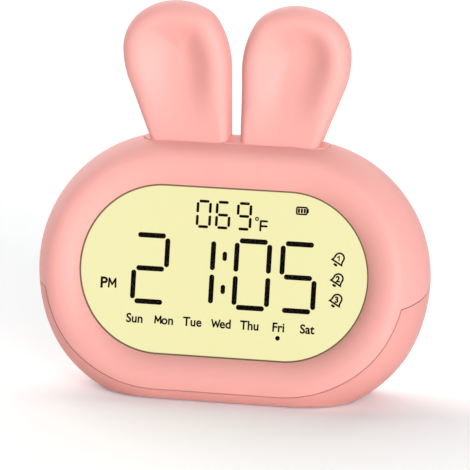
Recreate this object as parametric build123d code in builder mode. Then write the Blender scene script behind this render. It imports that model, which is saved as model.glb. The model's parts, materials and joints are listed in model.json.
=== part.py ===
from build123d import *
import os
from math import asin, atan2, cos, degrees, radians, sin, tan

os.makedirs("parts", exist_ok=True)

# Rabbit-eared alarm clock. Origin: table surface, under the middle of the clock. +Z up, front towards -Y.
# Millimetres and degrees. "Depth" is measured from the display surface, square to it, towards the back.
# "Height" values marked "above display" are vertical, from the display centre.

# ---- Driving dimensions: body ----
lean = 13.0  # the face leans back from upright
display_height = 45.2  # display centre above the table
display_setback = -15.72  # display centre in front of the clock's middle
half_straight = 22.0  # half of the straight stretch in every stadium outline
body_radius = 48.0  # end radius of the body's outline
body_rise = 0.65  # body centre above the display centre, along the face
body_depth = 36.0  # flat back behind the display
widest_depth = 12.0  # depth at which the body is widest
display_radius = 30.0
crest_radius = 38.0  # ring's crest, from the stadium's medial line
crest_height = 3.8  # crest in front of the display
front_side_radius = 20.0  # section arc between the crest's corner and the widest line
rear_flat_radius = 37.0  # the back is flat inside this radius
rear_side_radius = 44.0
wall = 2.2
base_edge_radius = 2.0
foot_proud = 0.4  # rubber feet below the base

# ---- Driving dimensions: parting of the two shells ----
parting_front_depth = -0.6  # low on the front the seam lies in this plane
parting_kink = -9.0  # along the face, where the seam turns back
parting_rise = 18.3  # the side seam climbs by this angle to the depth direction
parting_rear_depth = 24.0
seam_gap = 0.2
lip_thickness = 1.0

# ---- Driving dimensions: ear key ----
key_y = 17.7  # behind the display centre, level
key_length = 67.4
key_width = 14.0
key_gap = 0.2
key_proud = 0.4
key_travel = 1.2
ear_thickness = 12.0
ear_inner = 2.1  # from the middle plane
ear_shoulder = 69.4  # above display: where the straight inner side ends
ear_arcs = ((32.5, 31.3), (10.8, 31.4), (23.1, 55.0), (16.35, 62.3), (32.0, 22.8))  # radius, turn
ear_edge_radius = 2.6
ear_wall = 2.4
back_cover_thickness = 2.2

# ---- Driving dimensions: display stack, as depths ----
lip_depth = 0.5  # the lens seats behind this lip
lens_overlap = 2.0  # behind the lip, all round
lens_fit = 0.15
lens_thickness = 1.5
glass_thickness = 1.1
lcd_depth = 2.6
film_thickness = 0.2
light_guide_thickness = 3.0
frame_front_depth = 2.4
board_depth = 9.3
board_thickness = 1.6

# ---- Driving dimensions: back ----
button_spacing = 16.0
button_height = 12.0  # row above the display centre, along the face
button_size = (9.0, 6.0)
button_proud = 0.9
running_gap = 0.2
speaker_place = (-38.0, -14.0)
speaker_radius = 14.5
socket_place = (40.0, -18.8)

# ---- Worked-out values ----
wall_depth = body_depth - wall  # inner face of the back
floor_z = foot_proud
far = 90.0  # past the body on every side
ahead = 8.0  # well in front of the crest
ring_arc = ((crest_radius - display_radius) ** 2 + crest_height**2) / (2 * crest_height)
key_row_y = display_setback + key_y


def corner_radius(across, along, side):
    """Small arc that joins a side arc tangentially and ends square at the other end of the quarter."""
    return (2 * across * side - across**2 - along**2) / (2 * side - 2 * along)


front_corner = corner_radius(body_radius - crest_radius, crest_height + widest_depth, front_side_radius)
rear_corner = corner_radius(body_radius - rear_flat_radius, body_depth - widest_depth, rear_side_radius)

face = Plane(
    origin=(0, display_setback, display_height),
    x_dir=(1, 0, 0),
    z_dir=(0, -cos(radians(lean)), sin(radians(lean))),
)


def at_depth(depth):
    """Plane parallel to the display, facing the front; local x is across and local y is up the face."""
    return face.offset(-depth)


def across(x, rise=0.0):
    """Plane square to the width; local x is up the face and local y is out of the face."""
    return Plane(origin=face.from_local_coords((x, rise, 0)), x_dir=face.y_dir, z_dir=(1, 0, 0))


def level(height):
    """Horizontal plane at a height above the display centre."""
    return Plane.XY.offset(display_height + height)


def stadium(radius, mode=Mode.ADD):
    """Outline parallel to the body's, in the sketch being built."""
    return SlotCenterToCenter(2 * half_straight, 2 * radius, mode=mode)


def four(x, v):
    """The four mirrored places of one point of the face."""
    return [(sx * x, sy * v) for sx in (-1, 1) for sy in (-1, 1)]


def half_section(inset):
    """Outline of half of the body's section, set in from its skin, as arcs about the skin's own centres."""
    ring_end = 180 - degrees(asin((ring_arc - crest_height - inset) / (ring_arc - inset)))
    front_centre = (crest_radius, crest_height - front_corner)
    side_front = (body_radius - front_side_radius, -widest_depth)
    side_rear = (body_radius - rear_side_radius, -widest_depth)
    rear_centre = (rear_flat_radius, rear_corner - body_depth)
    front_turn = degrees(atan2(front_centre[1] - side_front[1], front_centre[0] - side_front[0]))
    rear_turn = degrees(atan2(rear_centre[1] - side_rear[1], rear_centre[0] - side_rear[0]))
    with BuildLine() as outline:
        ring = CenterArc((crest_radius, crest_height - ring_arc), ring_arc - inset, 90, ring_end - 90)
        CenterArc(front_centre, front_corner - inset, front_turn, 90 - front_turn)
        CenterArc(side_front, front_side_radius - inset, 0, front_turn)
        CenterArc(side_rear, rear_side_radius - inset, rear_turn, -rear_turn)
        CenterArc(rear_centre, rear_corner - inset, -90, rear_turn + 90)
        Polyline(ring @ 1, (0, -inset), (0, inset - body_depth), (rear_flat_radius, inset - body_depth))
    return outline.line


def below(z):
    """Cuts off all that is under a height above the table."""
    with Locations((0, 0, z)):
        Box(2 * far, 2 * far, far, align=(Align.CENTER, Align.CENTER, Align.MAX), mode=Mode.SUBTRACT)


def body_form(inset, base_edge=0.0):
    """The body's stadium form, set in from its skin, down to its floor, perhaps with a rounded base edge."""
    outline = half_section(inset)
    with BuildPart() as form:
        with BuildSketch(across(-half_straight, body_rise)):
            make_face(outline.edges())
            mirror(about=Plane.YZ)
        extrude(amount=2 * half_straight)
        for side in (-1, 1):
            end = across(side * half_straight, body_rise)
            with BuildSketch(end):
                make_face(outline.edges())
            revolve(axis=Axis(end.origin, face.z_dir * -side), revolution_arc=180)
        below(floor_z + inset)
        if base_edge:
            fillet(form.faces().sort_by(Axis.Z)[0].edges(), base_edge)
    return form.part


def write(part, name):
    part.label = name
    export_step(part, f"parts/{name}.step")


# ---- Parting region: all that belongs to the rear shell ----
def rear_region(gap):
    """Space behind the parting line, grown by the seam gap."""
    rear_kink = parting_kink + (parting_rear_depth - parting_front_depth) * tan(radians(parting_rise))
    with BuildPart() as region:
        with BuildSketch(across(-far)):
            with BuildLine():
                Polyline(
                    (-far, -parting_front_depth),
                    (parting_kink, -parting_front_depth),
                    (rear_kink, -parting_rear_depth),
                    (far, -parting_rear_depth),
                    (far, -far),
                    (-far, -far),
                    close=True,
                )
            make_face()
            if gap:
                offset(amount=gap, kind=Kind.INTERSECTION)
        extrude(amount=2 * far)
        with BuildSketch(at_depth(-ahead)):
            stadium(crest_radius + 2)
        extrude(amount=-ahead - 4, mode=Mode.SUBTRACT)
    return region.part


skin = body_form(0, base_edge_radius)
hollow = body_form(wall)
within_wall = body_form(wall / 2)

# ---- Shared places of posts and screws, as (across, up the face) ----
display_posts = four(57.8, 20.0)
case_posts = four(58.2, 7.6)
case_joint_depth = 14.0
case_seat_depth = 17.0
case_screw_length = 12.0
case_post_radius = 2.9
post_radius = 2.7
screw_radius = 1.0
screw_hole_radius = 1.05
head_radius = 1.8
head_height = 1.3
case_screw_radius = 1.25
case_head_radius = 2.2
case_head_height = 1.7
display_post_depth = 7.8
bracket_posts = [(-41.0, key_row_y), (41.0, key_row_y)]
bracket_top = 35.6  # above display
bracket_thickness = 1.6
collar_bottom = 38.5  # above display
collar_wall = 1.4


def key_outline(growth, mode=Mode.ADD):
    """The oval of the ear key, grown all round, in the sketch being built."""
    with Locations((0, key_row_y)):
        SlotOverall(key_length + 2 * growth, key_width + 2 * growth, mode=mode)


# ---- Front shell ----
# Posts keep clear of the other shell's wall: each shell's wall zone, cut away from the other's posts.
clear_inside = body_form(wall + seam_gap)
with BuildPart() as rear_wall_zone:
    add(rear_region(seam_gap))
    add(clear_inside, mode=Mode.SUBTRACT)
with BuildPart() as front_wall_zone:
    add(within_wall)
    add(rear_region(0), mode=Mode.SUBTRACT)
    add(clear_inside, mode=Mode.SUBTRACT)

with BuildPart() as front_posts:
    with BuildSketch(at_depth(-ahead)):
        with Locations(*display_posts):
            Circle(post_radius)
    extrude(amount=-ahead - display_post_depth)
    with BuildSketch(at_depth(-ahead)):
        with Locations(*case_posts):
            Circle(case_post_radius)
    extrude(amount=-ahead - case_joint_depth)
    add(rear_wall_zone.part, mode=Mode.SUBTRACT)
    with BuildSketch(level(bracket_top)):
        with Locations(*bracket_posts):
            Circle(post_radius)
    extrude(amount=20)
    with BuildSketch(level(collar_bottom)):
        key_outline(key_gap + collar_wall)
    extrude(amount=20)
    add(within_wall, mode=Mode.INTERSECT)

with BuildPart() as front_shell:
    add(skin)
    add(hollow, mode=Mode.SUBTRACT)
    add(rear_region(seam_gap), mode=Mode.SUBTRACT)
    add(front_posts.part)
    with BuildSketch(at_depth(-ahead)):
        stadium(display_radius)
    extrude(amount=-ahead - lip_depth, mode=Mode.SUBTRACT)
    with BuildSketch(at_depth(lip_depth)):
        stadium(display_radius + lens_overlap + lens_fit)
    extrude(amount=-3, mode=Mode.SUBTRACT)
    with BuildSketch(level(collar_bottom - 1)):
        key_outline(key_gap)
    extrude(amount=20, mode=Mode.SUBTRACT)
    with BuildSketch(at_depth(display_post_depth)):
        with Locations(*display_posts):
            Circle(screw_hole_radius)
    extrude(amount=5.5, mode=Mode.SUBTRACT)
    with BuildSketch(at_depth(case_joint_depth)):
        with Locations(*case_posts):
            Circle(case_screw_radius + 0.05)
    extrude(amount=10, mode=Mode.SUBTRACT)
    with BuildSketch(level(bracket_top)):
        with Locations(*bracket_posts):
            Circle(screw_hole_radius)
    extrude(amount=3.6, mode=Mode.SUBTRACT)
write(front_shell.part, "front_shell")

# ---- Rear shell: lower tub, base and back in one moulding ----
button_places = [(button_spacing * (i - 2), button_height) for i in range(5)]
button_board_depth = 24.0
button_board_thickness = 1.2
board_post_places = [(-42.0, button_height), (42.0, button_height)]
shelf_top = socket_place[1] - 1.6 - 1.2  # along the face: underside of the charge board
shelf_thickness = 4.5
shelf_size = (18.0, 13.5)  # across, deep
shelf_plane = Plane(origin=face.from_local_coords((0, shelf_top, 0)), x_dir=(1, 0, 0), z_dir=face.y_dir)
charge_screw_spread = 6.5
charge_screw_depth = wall_depth - 9.0
socket_hole = (9.6, 3.9)
grille_hole_radius = 0.9
grille_rings = ((3.6, 6), (7.2, 12), (10.8, 18))  # radius, number of holes
foot_radius = 4.5
foot_recess = 0.8
foot_places = [(x, y) for x in (-32.0, 32.0) for y in (-14.5, 4.0)]

with BuildPart() as rear_posts:
    with BuildSketch(at_depth(case_joint_depth)):
        with Locations(*case_posts):
            Circle(case_post_radius + 0.6)
    extrude(amount=case_joint_depth - body_depth)
    with BuildSketch(at_depth(button_board_depth + button_board_thickness)):
        with Locations(*board_post_places):
            Circle(post_radius)
    extrude(amount=-12)
    with BuildSketch(at_depth(wall_depth - 2.6)):
        with Locations(speaker_place):
            Circle(speaker_radius + 1.5)
            Circle(speaker_radius + 0.15, mode=Mode.SUBTRACT)
    extrude(amount=-4)
    with BuildSketch(at_depth(wall_depth - shelf_size[1])):
        with Locations((socket_place[0], shelf_top - shelf_thickness / 2)):
            Rectangle(shelf_size[0], shelf_thickness)
    extrude(amount=-shelf_size[1] - 1)
    add(within_wall, mode=Mode.INTERSECT)
    add(front_wall_zone.part, mode=Mode.SUBTRACT)

with BuildPart() as lip:
    add(body_form(wall + 0.1))
    add(body_form(wall + 0.1 + lip_thickness), mode=Mode.SUBTRACT)
    with BuildSketch(at_depth(parting_rear_depth - 2.4)):
        with Locations((0, 33)):
            Rectangle(160, 60)
    extrude(amount=-4.4, mode=Mode.INTERSECT)

with BuildPart() as lip_root:
    add(body_form(wall / 2))
    add(body_form(wall + 0.1 + lip_thickness), mode=Mode.SUBTRACT)
    with BuildSketch(at_depth(parting_rear_depth + 0.4)):
        with Locations((0, 33)):
            Rectangle(160, 60)
    extrude(amount=-1.6, mode=Mode.INTERSECT)

with BuildPart() as rear_shell:
    add(skin)
    add(hollow, mode=Mode.SUBTRACT)
    add(rear_region(0), mode=Mode.INTERSECT)
    add(rear_posts.part)
    add(lip.part)
    add(lip_root.part)
    with BuildSketch(at_depth(case_seat_depth)):
        with Locations(*case_posts):
            Circle(case_head_radius + 0.2)
    extrude(amount=-30, mode=Mode.SUBTRACT)
    with BuildSketch(at_depth(case_joint_depth - 1)):
        with Locations(*case_posts):
            Circle(case_screw_radius + 0.15)
    extrude(amount=-10, mode=Mode.SUBTRACT)
    with BuildSketch(at_depth(button_board_depth + button_board_thickness)):
        with Locations(*board_post_places):
            Circle(screw_hole_radius)
    extrude(amount=-5, mode=Mode.SUBTRACT)
    with BuildSketch(at_depth(wall_depth - 1)):
        with Locations(*button_places):
            SlotOverall(button_size[0] + 2 * running_gap, button_size[1] + 2 * running_gap)
        with Locations(socket_place):
            SlotOverall(*socket_hole)
        with Locations(speaker_place):
            Circle(grille_hole_radius)
            for ring_radius, count in grille_rings:
                with PolarLocations(ring_radius, count):
                    Circle(grille_hole_radius)
    extrude(amount=-wall - 2, mode=Mode.SUBTRACT)
    with BuildSketch(Plane.XY.offset(floor_z)):
        with Locations(*foot_places):
            Circle(foot_radius + 0.1)
    extrude(amount=foot_recess, mode=Mode.SUBTRACT)
    with BuildSketch(shelf_plane.offset(1)):
        with Locations(*[(socket_place[0] + s * charge_screw_spread, charge_screw_depth) for s in (-1, 1)]):
            Circle(screw_hole_radius)
    extrude(amount=-shelf_thickness - 2, mode=Mode.SUBTRACT)
write(rear_shell.part, "rear_shell")

with BuildPart() as feet:
    with BuildSketch():
        with Locations(*foot_places):
            Circle(foot_radius)
    extrude(amount=foot_proud + foot_recess)
write(feet.part, "feet")

# ---- Display stack ----
lens_depth = lip_depth + 0.15
lcd_half = (53.2, 32.4)
rear_glass_half = (53.2, 30.4)  # shorter, which leaves contact ledges above and below
guide_half = (52.2, 30.2)
glass_corner = 11.0
rear_glass_depth = lcd_depth + glass_thickness
film_depth = rear_glass_depth + glass_thickness
light_guide_depth = film_depth + film_thickness
reflector_depth = light_guide_depth + light_guide_thickness
frame_floor_depth = reflector_depth + film_thickness
frame_wall = 1.2
frame_corner = 14.0
frame_half = (lcd_half[0] + 0.4, lcd_half[1] + 0.4)  # inside of its walls
strip_row = (lcd_half[1] + rear_glass_half[1]) / 2
strip_size = (84.0, 1.6)
tab_half = 3.1
board_rear = board_depth + board_thickness


def panel(depth, half, thickness, corner):
    """Flat rectangular sheet of the display stack with ground-off corners."""
    with BuildPart() as sheet:
        with BuildSketch(at_depth(depth)) as outline:
            Rectangle(2 * half[0], 2 * half[1])
            chamfer(outline.vertices(), corner)
        extrude(amount=-thickness)
    return sheet.part


def rounded(half, corner, mode=Mode.ADD):
    """Rounded rectangle in the sketch being built."""
    RectangleRounded(2 * half[0], 2 * half[1], corner, mode=mode)


def side_tabs():
    """Screw tabs at the display posts, in the sketch being built."""
    for x, v in display_posts:
        with Locations((x, v)):
            Circle(tab_half)
        with Locations((x * 0.92, v)):
            Rectangle(9.0, 2 * tab_half)


with BuildPart() as lens_adhesive:
    with BuildSketch(at_depth(lip_depth)):
        stadium(display_radius + lens_overlap - 0.1)
        stadium(display_radius + 0.3, mode=Mode.SUBTRACT)
    extrude(amount=lip_depth - lens_depth)
write(lens_adhesive.part, "lens_adhesive")

with BuildPart() as display_lens:
    with BuildSketch(at_depth(lens_depth)):
        stadium(display_radius + lens_overlap)
    extrude(amount=-lens_thickness)
write(display_lens.part, "display_lens")

write(panel(lcd_depth, lcd_half, glass_thickness, glass_corner), "lcd_front_glass")
write(panel(rear_glass_depth, rear_glass_half, glass_thickness, glass_corner - 1), "lcd_rear_glass")
write(panel(film_depth, guide_half, film_thickness, glass_corner), "diffuser_film")
write(panel(light_guide_depth, guide_half, light_guide_thickness, glass_corner), "light_guide")
write(panel(reflector_depth, guide_half, film_thickness, glass_corner), "reflector_film")

with BuildPart() as display_frame:
    with BuildSketch(at_depth(frame_front_depth)):
        rounded((frame_half[0] + frame_wall, frame_half[1] + frame_wall), frame_corner + frame_wall)
    extrude(amount=frame_front_depth - board_depth)
    with BuildSketch(at_depth(display_post_depth)):
        side_tabs()
    extrude(amount=display_post_depth - board_depth)
    with BuildSketch(at_depth(frame_front_depth)):
        rounded(frame_half, frame_corner)
    extrude(amount=frame_front_depth - frame_floor_depth, mode=Mode.SUBTRACT)
    with BuildSketch(at_depth(frame_floor_depth - 1)):
        with Locations((0, strip_row), (0, -strip_row)):
            Rectangle(strip_size[0] + 0.4, strip_size[1] + 0.2)
        with Locations(*display_posts):
            Circle(screw_radius + 0.15)
    extrude(amount=-3, mode=Mode.SUBTRACT)
write(display_frame.part, "display_frame")

with BuildPart() as contact_strips:
    with BuildSketch(at_depth(rear_glass_depth)):
        with Locations((0, strip_row), (0, -strip_row)):
            Rectangle(*strip_size)
    extrude(amount=rear_glass_depth - board_depth)
write(contact_strips.part, "contact_strips")

# Night light: a row of small lamps on a thin strip at each end of the light guide.
lamp_size = (0.9, 3.0, 2.4)  # across, up the face, deep
lamp_rows = [-15.0 + 7.5 * i for i in range(5)]
lamp_x = guide_half[0] + 0.1 + lamp_size[0] / 2
strip_x = guide_half[0] + 0.1 + lamp_size[0] + 0.15

with BuildPart() as night_light_lamps:
    with BuildSketch(at_depth(light_guide_depth + 0.3)):
        with Locations(*[(side * lamp_x, row) for side in (-1, 1) for row in lamp_rows]):
            Rectangle(lamp_size[0], lamp_size[1])
    extrude(amount=-lamp_size[2])
write(night_light_lamps.part, "night_light_lamps")

with BuildPart() as night_light_strips:
    with BuildSketch(at_depth(light_guide_depth)):
        with Locations((-strip_x, 0), (strip_x, 0)):
            Rectangle(0.3, 36)
    extrude(amount=-light_guide_thickness)
write(night_light_strips.part, "night_light_strips")

# ---- Main board and what is on it ----
board_half = (52.0, 33.0)
battery_socket = (-4.2, 2.0)
speaker_socket = (-38.0, 2.0)
ear_socket = (0.0, 24.0)
ribbon_socket = (20.0, 9.0)
plug_height = 5.5

with BuildPart() as main_board:
    with BuildSketch(at_depth(board_depth)):
        rounded(board_half, frame_corner)
        side_tabs()
        with Locations(*display_posts):
            Circle(screw_radius + 0.15, mode=Mode.SUBTRACT)
    extrude(amount=-board_thickness)
write(main_board.part, "main_board")


def on_board(places, size, height, corner=0.3):
    """Like blocks that stand on the back of the main board."""
    with BuildPart() as blocks:
        with BuildSketch(at_depth(board_rear)):
            with Locations(*places):
                RectangleRounded(size[0], size[1], corner)
        extrude(amount=-height)
    return blocks


write(on_board([(-22.0, -12.0)], (10.0, 10.0), 1.4).part, "processor_chip")
write(on_board([(12.0, -14.0), (30.0, -8.0)], (6.0, 5.0), 1.5).part, "sound_and_charge_chips")

with BuildPart() as clock_crystal:
    with BuildSketch(across(-18.0)):
        with Locations((-24.0, -board_rear - 1.5)):
            Circle(1.5)
    extrude(amount=8)
write(clock_crystal.part, "clock_crystal")

with BuildPart() as capacitors:
    with BuildSketch(at_depth(board_rear)):
        with Locations((26.0, -22.0), (34.0, -22.0), (38.0, 22.0)):
            Circle(2.5)
    extrude(amount=-6.5)
    fillet(capacitors.faces().filter_by(Axis((0, 0, 0), face.z_dir)).edges(), 0.3)
write(capacitors.part, "capacitors")

with BuildPart() as chip_parts:
    with BuildSketch(at_depth(board_rear)):
        with GridLocations(5.0, 4.0, 5, 2):
            with Locations((-30.0, 18.0)):
                Rectangle(2.0, 1.25)
        with GridLocations(4.0, 3.5, 3, 3):
            with Locations((4.0, -24.0)):
                Rectangle(1.6, 0.8)
    extrude(amount=-0.7)
write(chip_parts.part, "chip_resistors")

with BuildPart() as thermistor:
    with BuildSketch(at_depth(board_rear)):
        with Locations((-44.0, -20.0), (-44.0, -17.5)):
            Circle(0.3)
    extrude(amount=-4)
    with Locations(face.from_local_coords((-44.0, -18.75, -board_rear - 4.6))):
        Sphere(1.6)
write(thermistor.part, "temperature_sensor")

with BuildPart() as wire_sockets:
    with BuildSketch(at_depth(board_rear)):
        with Locations(battery_socket, speaker_socket, ear_socket):
            RectangleRounded(7.5, 4.5, 0.4)
    extrude(amount=-plug_height)
    with BuildSketch(at_depth(board_rear)):
        with Locations(ribbon_socket):
            RectangleRounded(14.0, 4.0, 0.4)
    extrude(amount=-1.7)
write(wire_sockets.part, "wire_sockets")

# ---- Battery ----
battery_centre = (1.0, -16.0)
battery_size = (42.0, 30.0, 8.0)
tape_thickness = 0.5
battery_depth = wall_depth - tape_thickness - battery_size[2]

with BuildPart() as battery_pack:
    with BuildSketch(at_depth(battery_depth)):
        with Locations(battery_centre):
            RectangleRounded(battery_size[0], battery_size[1], 2)
    extrude(amount=-battery_size[2])
    fillet(battery_pack.faces().filter_by(Axis((0, 0, 0), face.z_dir)).edges(), 1.2)
write(battery_pack.part, "battery_pack")

with BuildPart() as battery_tape:
    with BuildSketch(at_depth(wall_depth - tape_thickness)):
        with Locations(battery_centre):
            Rectangle(battery_size[0] - 8, battery_size[1] - 8)
    extrude(amount=-tape_thickness)
write(battery_tape.part, "battery_tape")

# ---- Speaker, in its ring on the back ----
speaker_edge = speaker_radius - 0.1
gasket_thickness = 0.5
basket_depth = wall_depth - gasket_thickness
rim_height = 3.0
magnet_radius = 9.0
magnet_height = 3.7
plate_thickness = 0.8
basket_plate_depth = basket_depth - rim_height - plate_thickness


def speaker_disc(depth, radius, hole, thickness):
    """Round plate or ring of the speaker, from a depth towards the back."""
    with BuildPart() as disc:
        with BuildSketch(at_depth(depth)):
            with Locations(speaker_place):
                Circle(radius)
                if hole:
                    Circle(hole, mode=Mode.SUBTRACT)
        extrude(amount=-thickness)
    return disc.part


write(speaker_disc(basket_depth, speaker_edge, speaker_edge - 2.2, gasket_thickness), "speaker_gasket")
write(speaker_disc(basket_plate_depth - magnet_height, magnet_radius, 0, magnet_height), "speaker_magnet")

with BuildPart() as speaker_frame:
    add(speaker_disc(basket_plate_depth, speaker_edge, 0, plate_thickness))
    add(speaker_disc(basket_depth - rim_height, speaker_edge, speaker_edge - 1.2, rim_height))
write(speaker_frame.part, "speaker_frame")

with BuildPart() as speaker_cone:
    cone_edge = speaker_edge - 1.2
    speaker_section = across(speaker_place[0], speaker_place[1])
    with BuildSketch(speaker_section):
        with BuildLine():
            Polyline(
                (0, -basket_depth + 1.6),
                (4.5, -basket_depth + 1.9),
                (cone_edge, -basket_depth + 0.6),
                (cone_edge, -basket_depth + 0.2),
                (4.5, -basket_depth + 1.5),
                (0, -basket_depth + 1.2),
                close=True,
            )
        make_face()
    revolve(axis=Axis(speaker_section.origin, face.z_dir))
write(speaker_cone.part, "speaker_cone")

# ---- Rear buttons, their switches and board ----
button_names = ["mode", "alarm", "up", "down", "light"]
button_board_rear = button_board_depth + button_board_thickness
switch_size = 6.2
switch_height = 3.5
switch_hole = (1.8, 2.6)  # radius, depth
plunger_radius = 1.72
plunger_reach = 5.2  # its tip above the board
plunger_foot = 1.6
flange_depth = wall_depth - 1.3
flange_thickness = 1.2

with BuildPart() as button_board:
    with BuildSketch(at_depth(button_board_depth)):
        with Locations((0, button_height)):
            RectangleRounded(92.0, 14.0, 2.0)
        with Locations(*board_post_places):
            Circle(screw_radius + 0.15, mode=Mode.SUBTRACT)
    extrude(amount=-button_board_thickness)
write(button_board.part, "button_board")

with BuildPart() as button_switches:
    with BuildSketch(at_depth(button_board_rear)):
        with Locations(*button_places):
            RectangleRounded(switch_size, switch_size, 0.5)
    extrude(amount=-switch_height)
    with BuildSketch(at_depth(button_board_rear + switch_height)):
        with Locations(*button_places):
            Circle(switch_hole[0])
    extrude(amount=switch_hole[1], mode=Mode.SUBTRACT)
write(button_switches.part, "button_switches")

for button_name, place in zip(button_names, button_places):
    with BuildPart() as plunger:
        with BuildSketch(at_depth(button_board_rear + plunger_foot)):
            with Locations(place):
                Circle(plunger_radius)
        extrude(amount=plunger_foot - plunger_reach)
    write(plunger.part, f"{button_name}_switch_plunger")
    with BuildPart() as button:
        with BuildSketch(at_depth(flange_depth + flange_thickness)):
            with Locations(place):
                SlotOverall(*button_size)
        extrude(amount=flange_depth + flange_thickness - body_depth - button_proud)
        fillet(button.faces().sort_by(Axis((0, 0, 0), -face.z_dir))[-1].edges(), 0.8)
        with BuildSketch(at_depth(flange_depth)):
            with Locations(place):
                SlotOverall(button_size[0] + 1.8, button_size[1] + 1.8)
        extrude(amount=-flange_thickness)
        with BuildSketch(at_depth(button_board_rear + plunger_reach)):
            with Locations(place):
                Circle(1.5)
        extrude(amount=button_board_rear + plunger_reach - flange_depth)
    write(button.part, f"{button_name}_button")

# ---- Charging socket and its board, on the shelf ----
charge_board_thickness = 1.2
charge_screws = [(socket_place[0] + s * charge_screw_spread, charge_screw_depth) for s in (-1, 1)]
socket_front_depth = body_depth - 8.1

with BuildPart() as charge_board:
    with BuildSketch(shelf_plane):
        with Locations((socket_place[0], wall_depth - 0.3 - 6.5)):
            Rectangle(17.0, 13.0)
        with Locations(*charge_screws):
            Circle(screw_radius + 0.15, mode=Mode.SUBTRACT)
    extrude(amount=charge_board_thickness)
write(charge_board.part, "charge_board")

with BuildPart() as charging_socket:
    with BuildSketch(at_depth(socket_front_depth)):
        with Locations(socket_place):
            SlotOverall(8.9, 3.2)
    extrude(amount=-7.5)
    with BuildSketch(at_depth(socket_front_depth + 1.5)):
        with Locations(socket_place):
            SlotOverall(8.3, 2.6)
            Rectangle(6.7, 0.7, mode=Mode.SUBTRACT)
    extrude(amount=-7, mode=Mode.SUBTRACT)
write(charging_socket.part, "charging_socket")

# ---- Ear key: oval insert with its skirt, guide posts and switch rib ----
skirt_wall = 1.4
skirt_bottom = collar_bottom + 0.7
guide_x = 25.0
guide_radius = 1.8
guide_tip = 33.0
spring_top = 42.2
bracket_bottom = bracket_top - bracket_thickness
ear_board_top = bracket_top + 1.2
ear_plunger_tip = ear_board_top + switch_height + key_travel + 0.3
ear_plunger_length = 3.0
peg_x = 15.5
peg_radius = 2.4
plate_inner = body_form(1.8)
raised_skin = body_form(-key_proud)

with BuildPart() as key_works:
    with BuildSketch(level(skirt_bottom)):
        key_outline(0)
        key_outline(-skirt_wall, mode=Mode.SUBTRACT)
    extrude(amount=20)
    with BuildSketch(level(guide_tip)):
        with Locations((-guide_x, key_row_y), (guide_x, key_row_y)):
            Circle(guide_radius)
    extrude(amount=20)
    with BuildSketch(level(spring_top)):
        with Locations((-guide_x, key_row_y), (guide_x, key_row_y)):
            Circle(3.4)
    extrude(amount=10)
    with BuildSketch(level(ear_plunger_tip)):
        with Locations((0, key_row_y)):
            Circle(2.5)
    extrude(amount=10)
    add(body_form(0.8), mode=Mode.INTERSECT)

with BuildPart() as ear_key:
    with BuildSketch(level(30)):
        key_outline(0)
    extrude(amount=30)
    add(raised_skin, mode=Mode.INTERSECT)
    add(plate_inner, mode=Mode.SUBTRACT)
    add(key_works.part)
    with BuildSketch(level(40)):
        with Locations((-peg_x, key_row_y), (peg_x, key_row_y)):
            Circle(peg_radius + 0.05)
    extrude(amount=10, mode=Mode.SUBTRACT)
write(ear_key.part, "ear_key")

# ---- Ears: scooped shells with back covers ----
ear_front_y = key_row_y - ear_thickness / 2 - 0.2
ear_back_y = ear_front_y + ear_thickness
ear_foot = 40.0
ear_taper = 26.0  # straight run of the outer side
cavity_floor = 48.5
cavity_depth = 5.4  # from the ear's front to the hollow behind it
scoop_radius = 36.0  # from the scoop's axis to the ear's front
scoop_tilt = 9.7
scoop_line = ((-16.0, 1.3), (8.0, 2.5), (29.0, 3.6), (40.0, 2.4), (46.0, -0.8))  # along the ear, depth
cover_y = ear_back_y - back_cover_thickness

with BuildLine() as ear_line:
    inner_side = Line((ear_inner, ear_foot), (ear_inner, ear_shoulder))
    bend = inner_side
    for radius, turn in ear_arcs:
        bend = JernArc(start=bend @ 1, tangent=bend % 1, radius=radius, arc_size=-turn)
    taper = PolarLine(start=bend @ 1, length=ear_taper, direction=bend % 1)
    Line(taper @ 1, inner_side @ 0)


def upright(y):
    """Vertical plane facing the front; local y is the height above the display centre."""
    return Plane(origin=(0, y, display_height), x_dir=(1, 0, 0), z_dir=(0, -1, 0))


scoop_plane = Plane(
    origin=(16.6, ear_front_y - scoop_radius, display_height + 44.0),
    x_dir=(sin(radians(scoop_tilt)), 0, cos(radians(scoop_tilt))),
    z_dir=(-cos(radians(scoop_tilt)), 0, sin(radians(scoop_tilt))),
)
with BuildPart() as scoop:
    with BuildSketch(scoop_plane):
        with BuildLine():
            hollow_line = Spline(*[(along, scoop_radius + depth) for along, depth in scoop_line])
            Polyline(hollow_line @ 0, (scoop_line[0][0], 0), (scoop_line[-1][0], 0), hollow_line @ 1)
        make_face()
    revolve(axis=Axis(scoop_plane.origin, scoop_plane.x_dir))

with BuildPart() as ear_form:
    with BuildSketch(upright(ear_back_y)):
        make_face(ear_line.edges())
    extrude(amount=ear_thickness)
    ends = ear_form.faces().filter_by(Axis.Y)
    rims = [edge for edge in ends.edges() if edge.center().Z > display_height + ear_foot + 1]
    fillet(rims, ear_edge_radius)
    add(scoop.part, mode=Mode.SUBTRACT)
    add(raised_skin, mode=Mode.SUBTRACT)

with BuildPart() as cavity:
    with BuildSketch(upright(cover_y)):
        make_face(ear_line.edges())
        offset(amount=-ear_wall)
        with Locations((20, ear_foot)):
            Rectangle(60, 2 * (cavity_floor - ear_foot), mode=Mode.SUBTRACT)
    extrude(amount=cover_y - ear_front_y - cavity_depth)

with BuildPart() as right_ear:
    add(ear_form.part)
    with Locations((20, cover_y, display_height + 60)):
        Box(80, 30, 100, align=(Align.CENTER, Align.MIN, Align.CENTER), mode=Mode.SUBTRACT)
    add(cavity.part, mode=Mode.SUBTRACT)
    with BuildSketch(level(41.0)):
        with Locations((peg_x, key_row_y)):
            Circle(peg_radius)
    extrude(amount=7)
write(right_ear.part, "right_ear")

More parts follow.
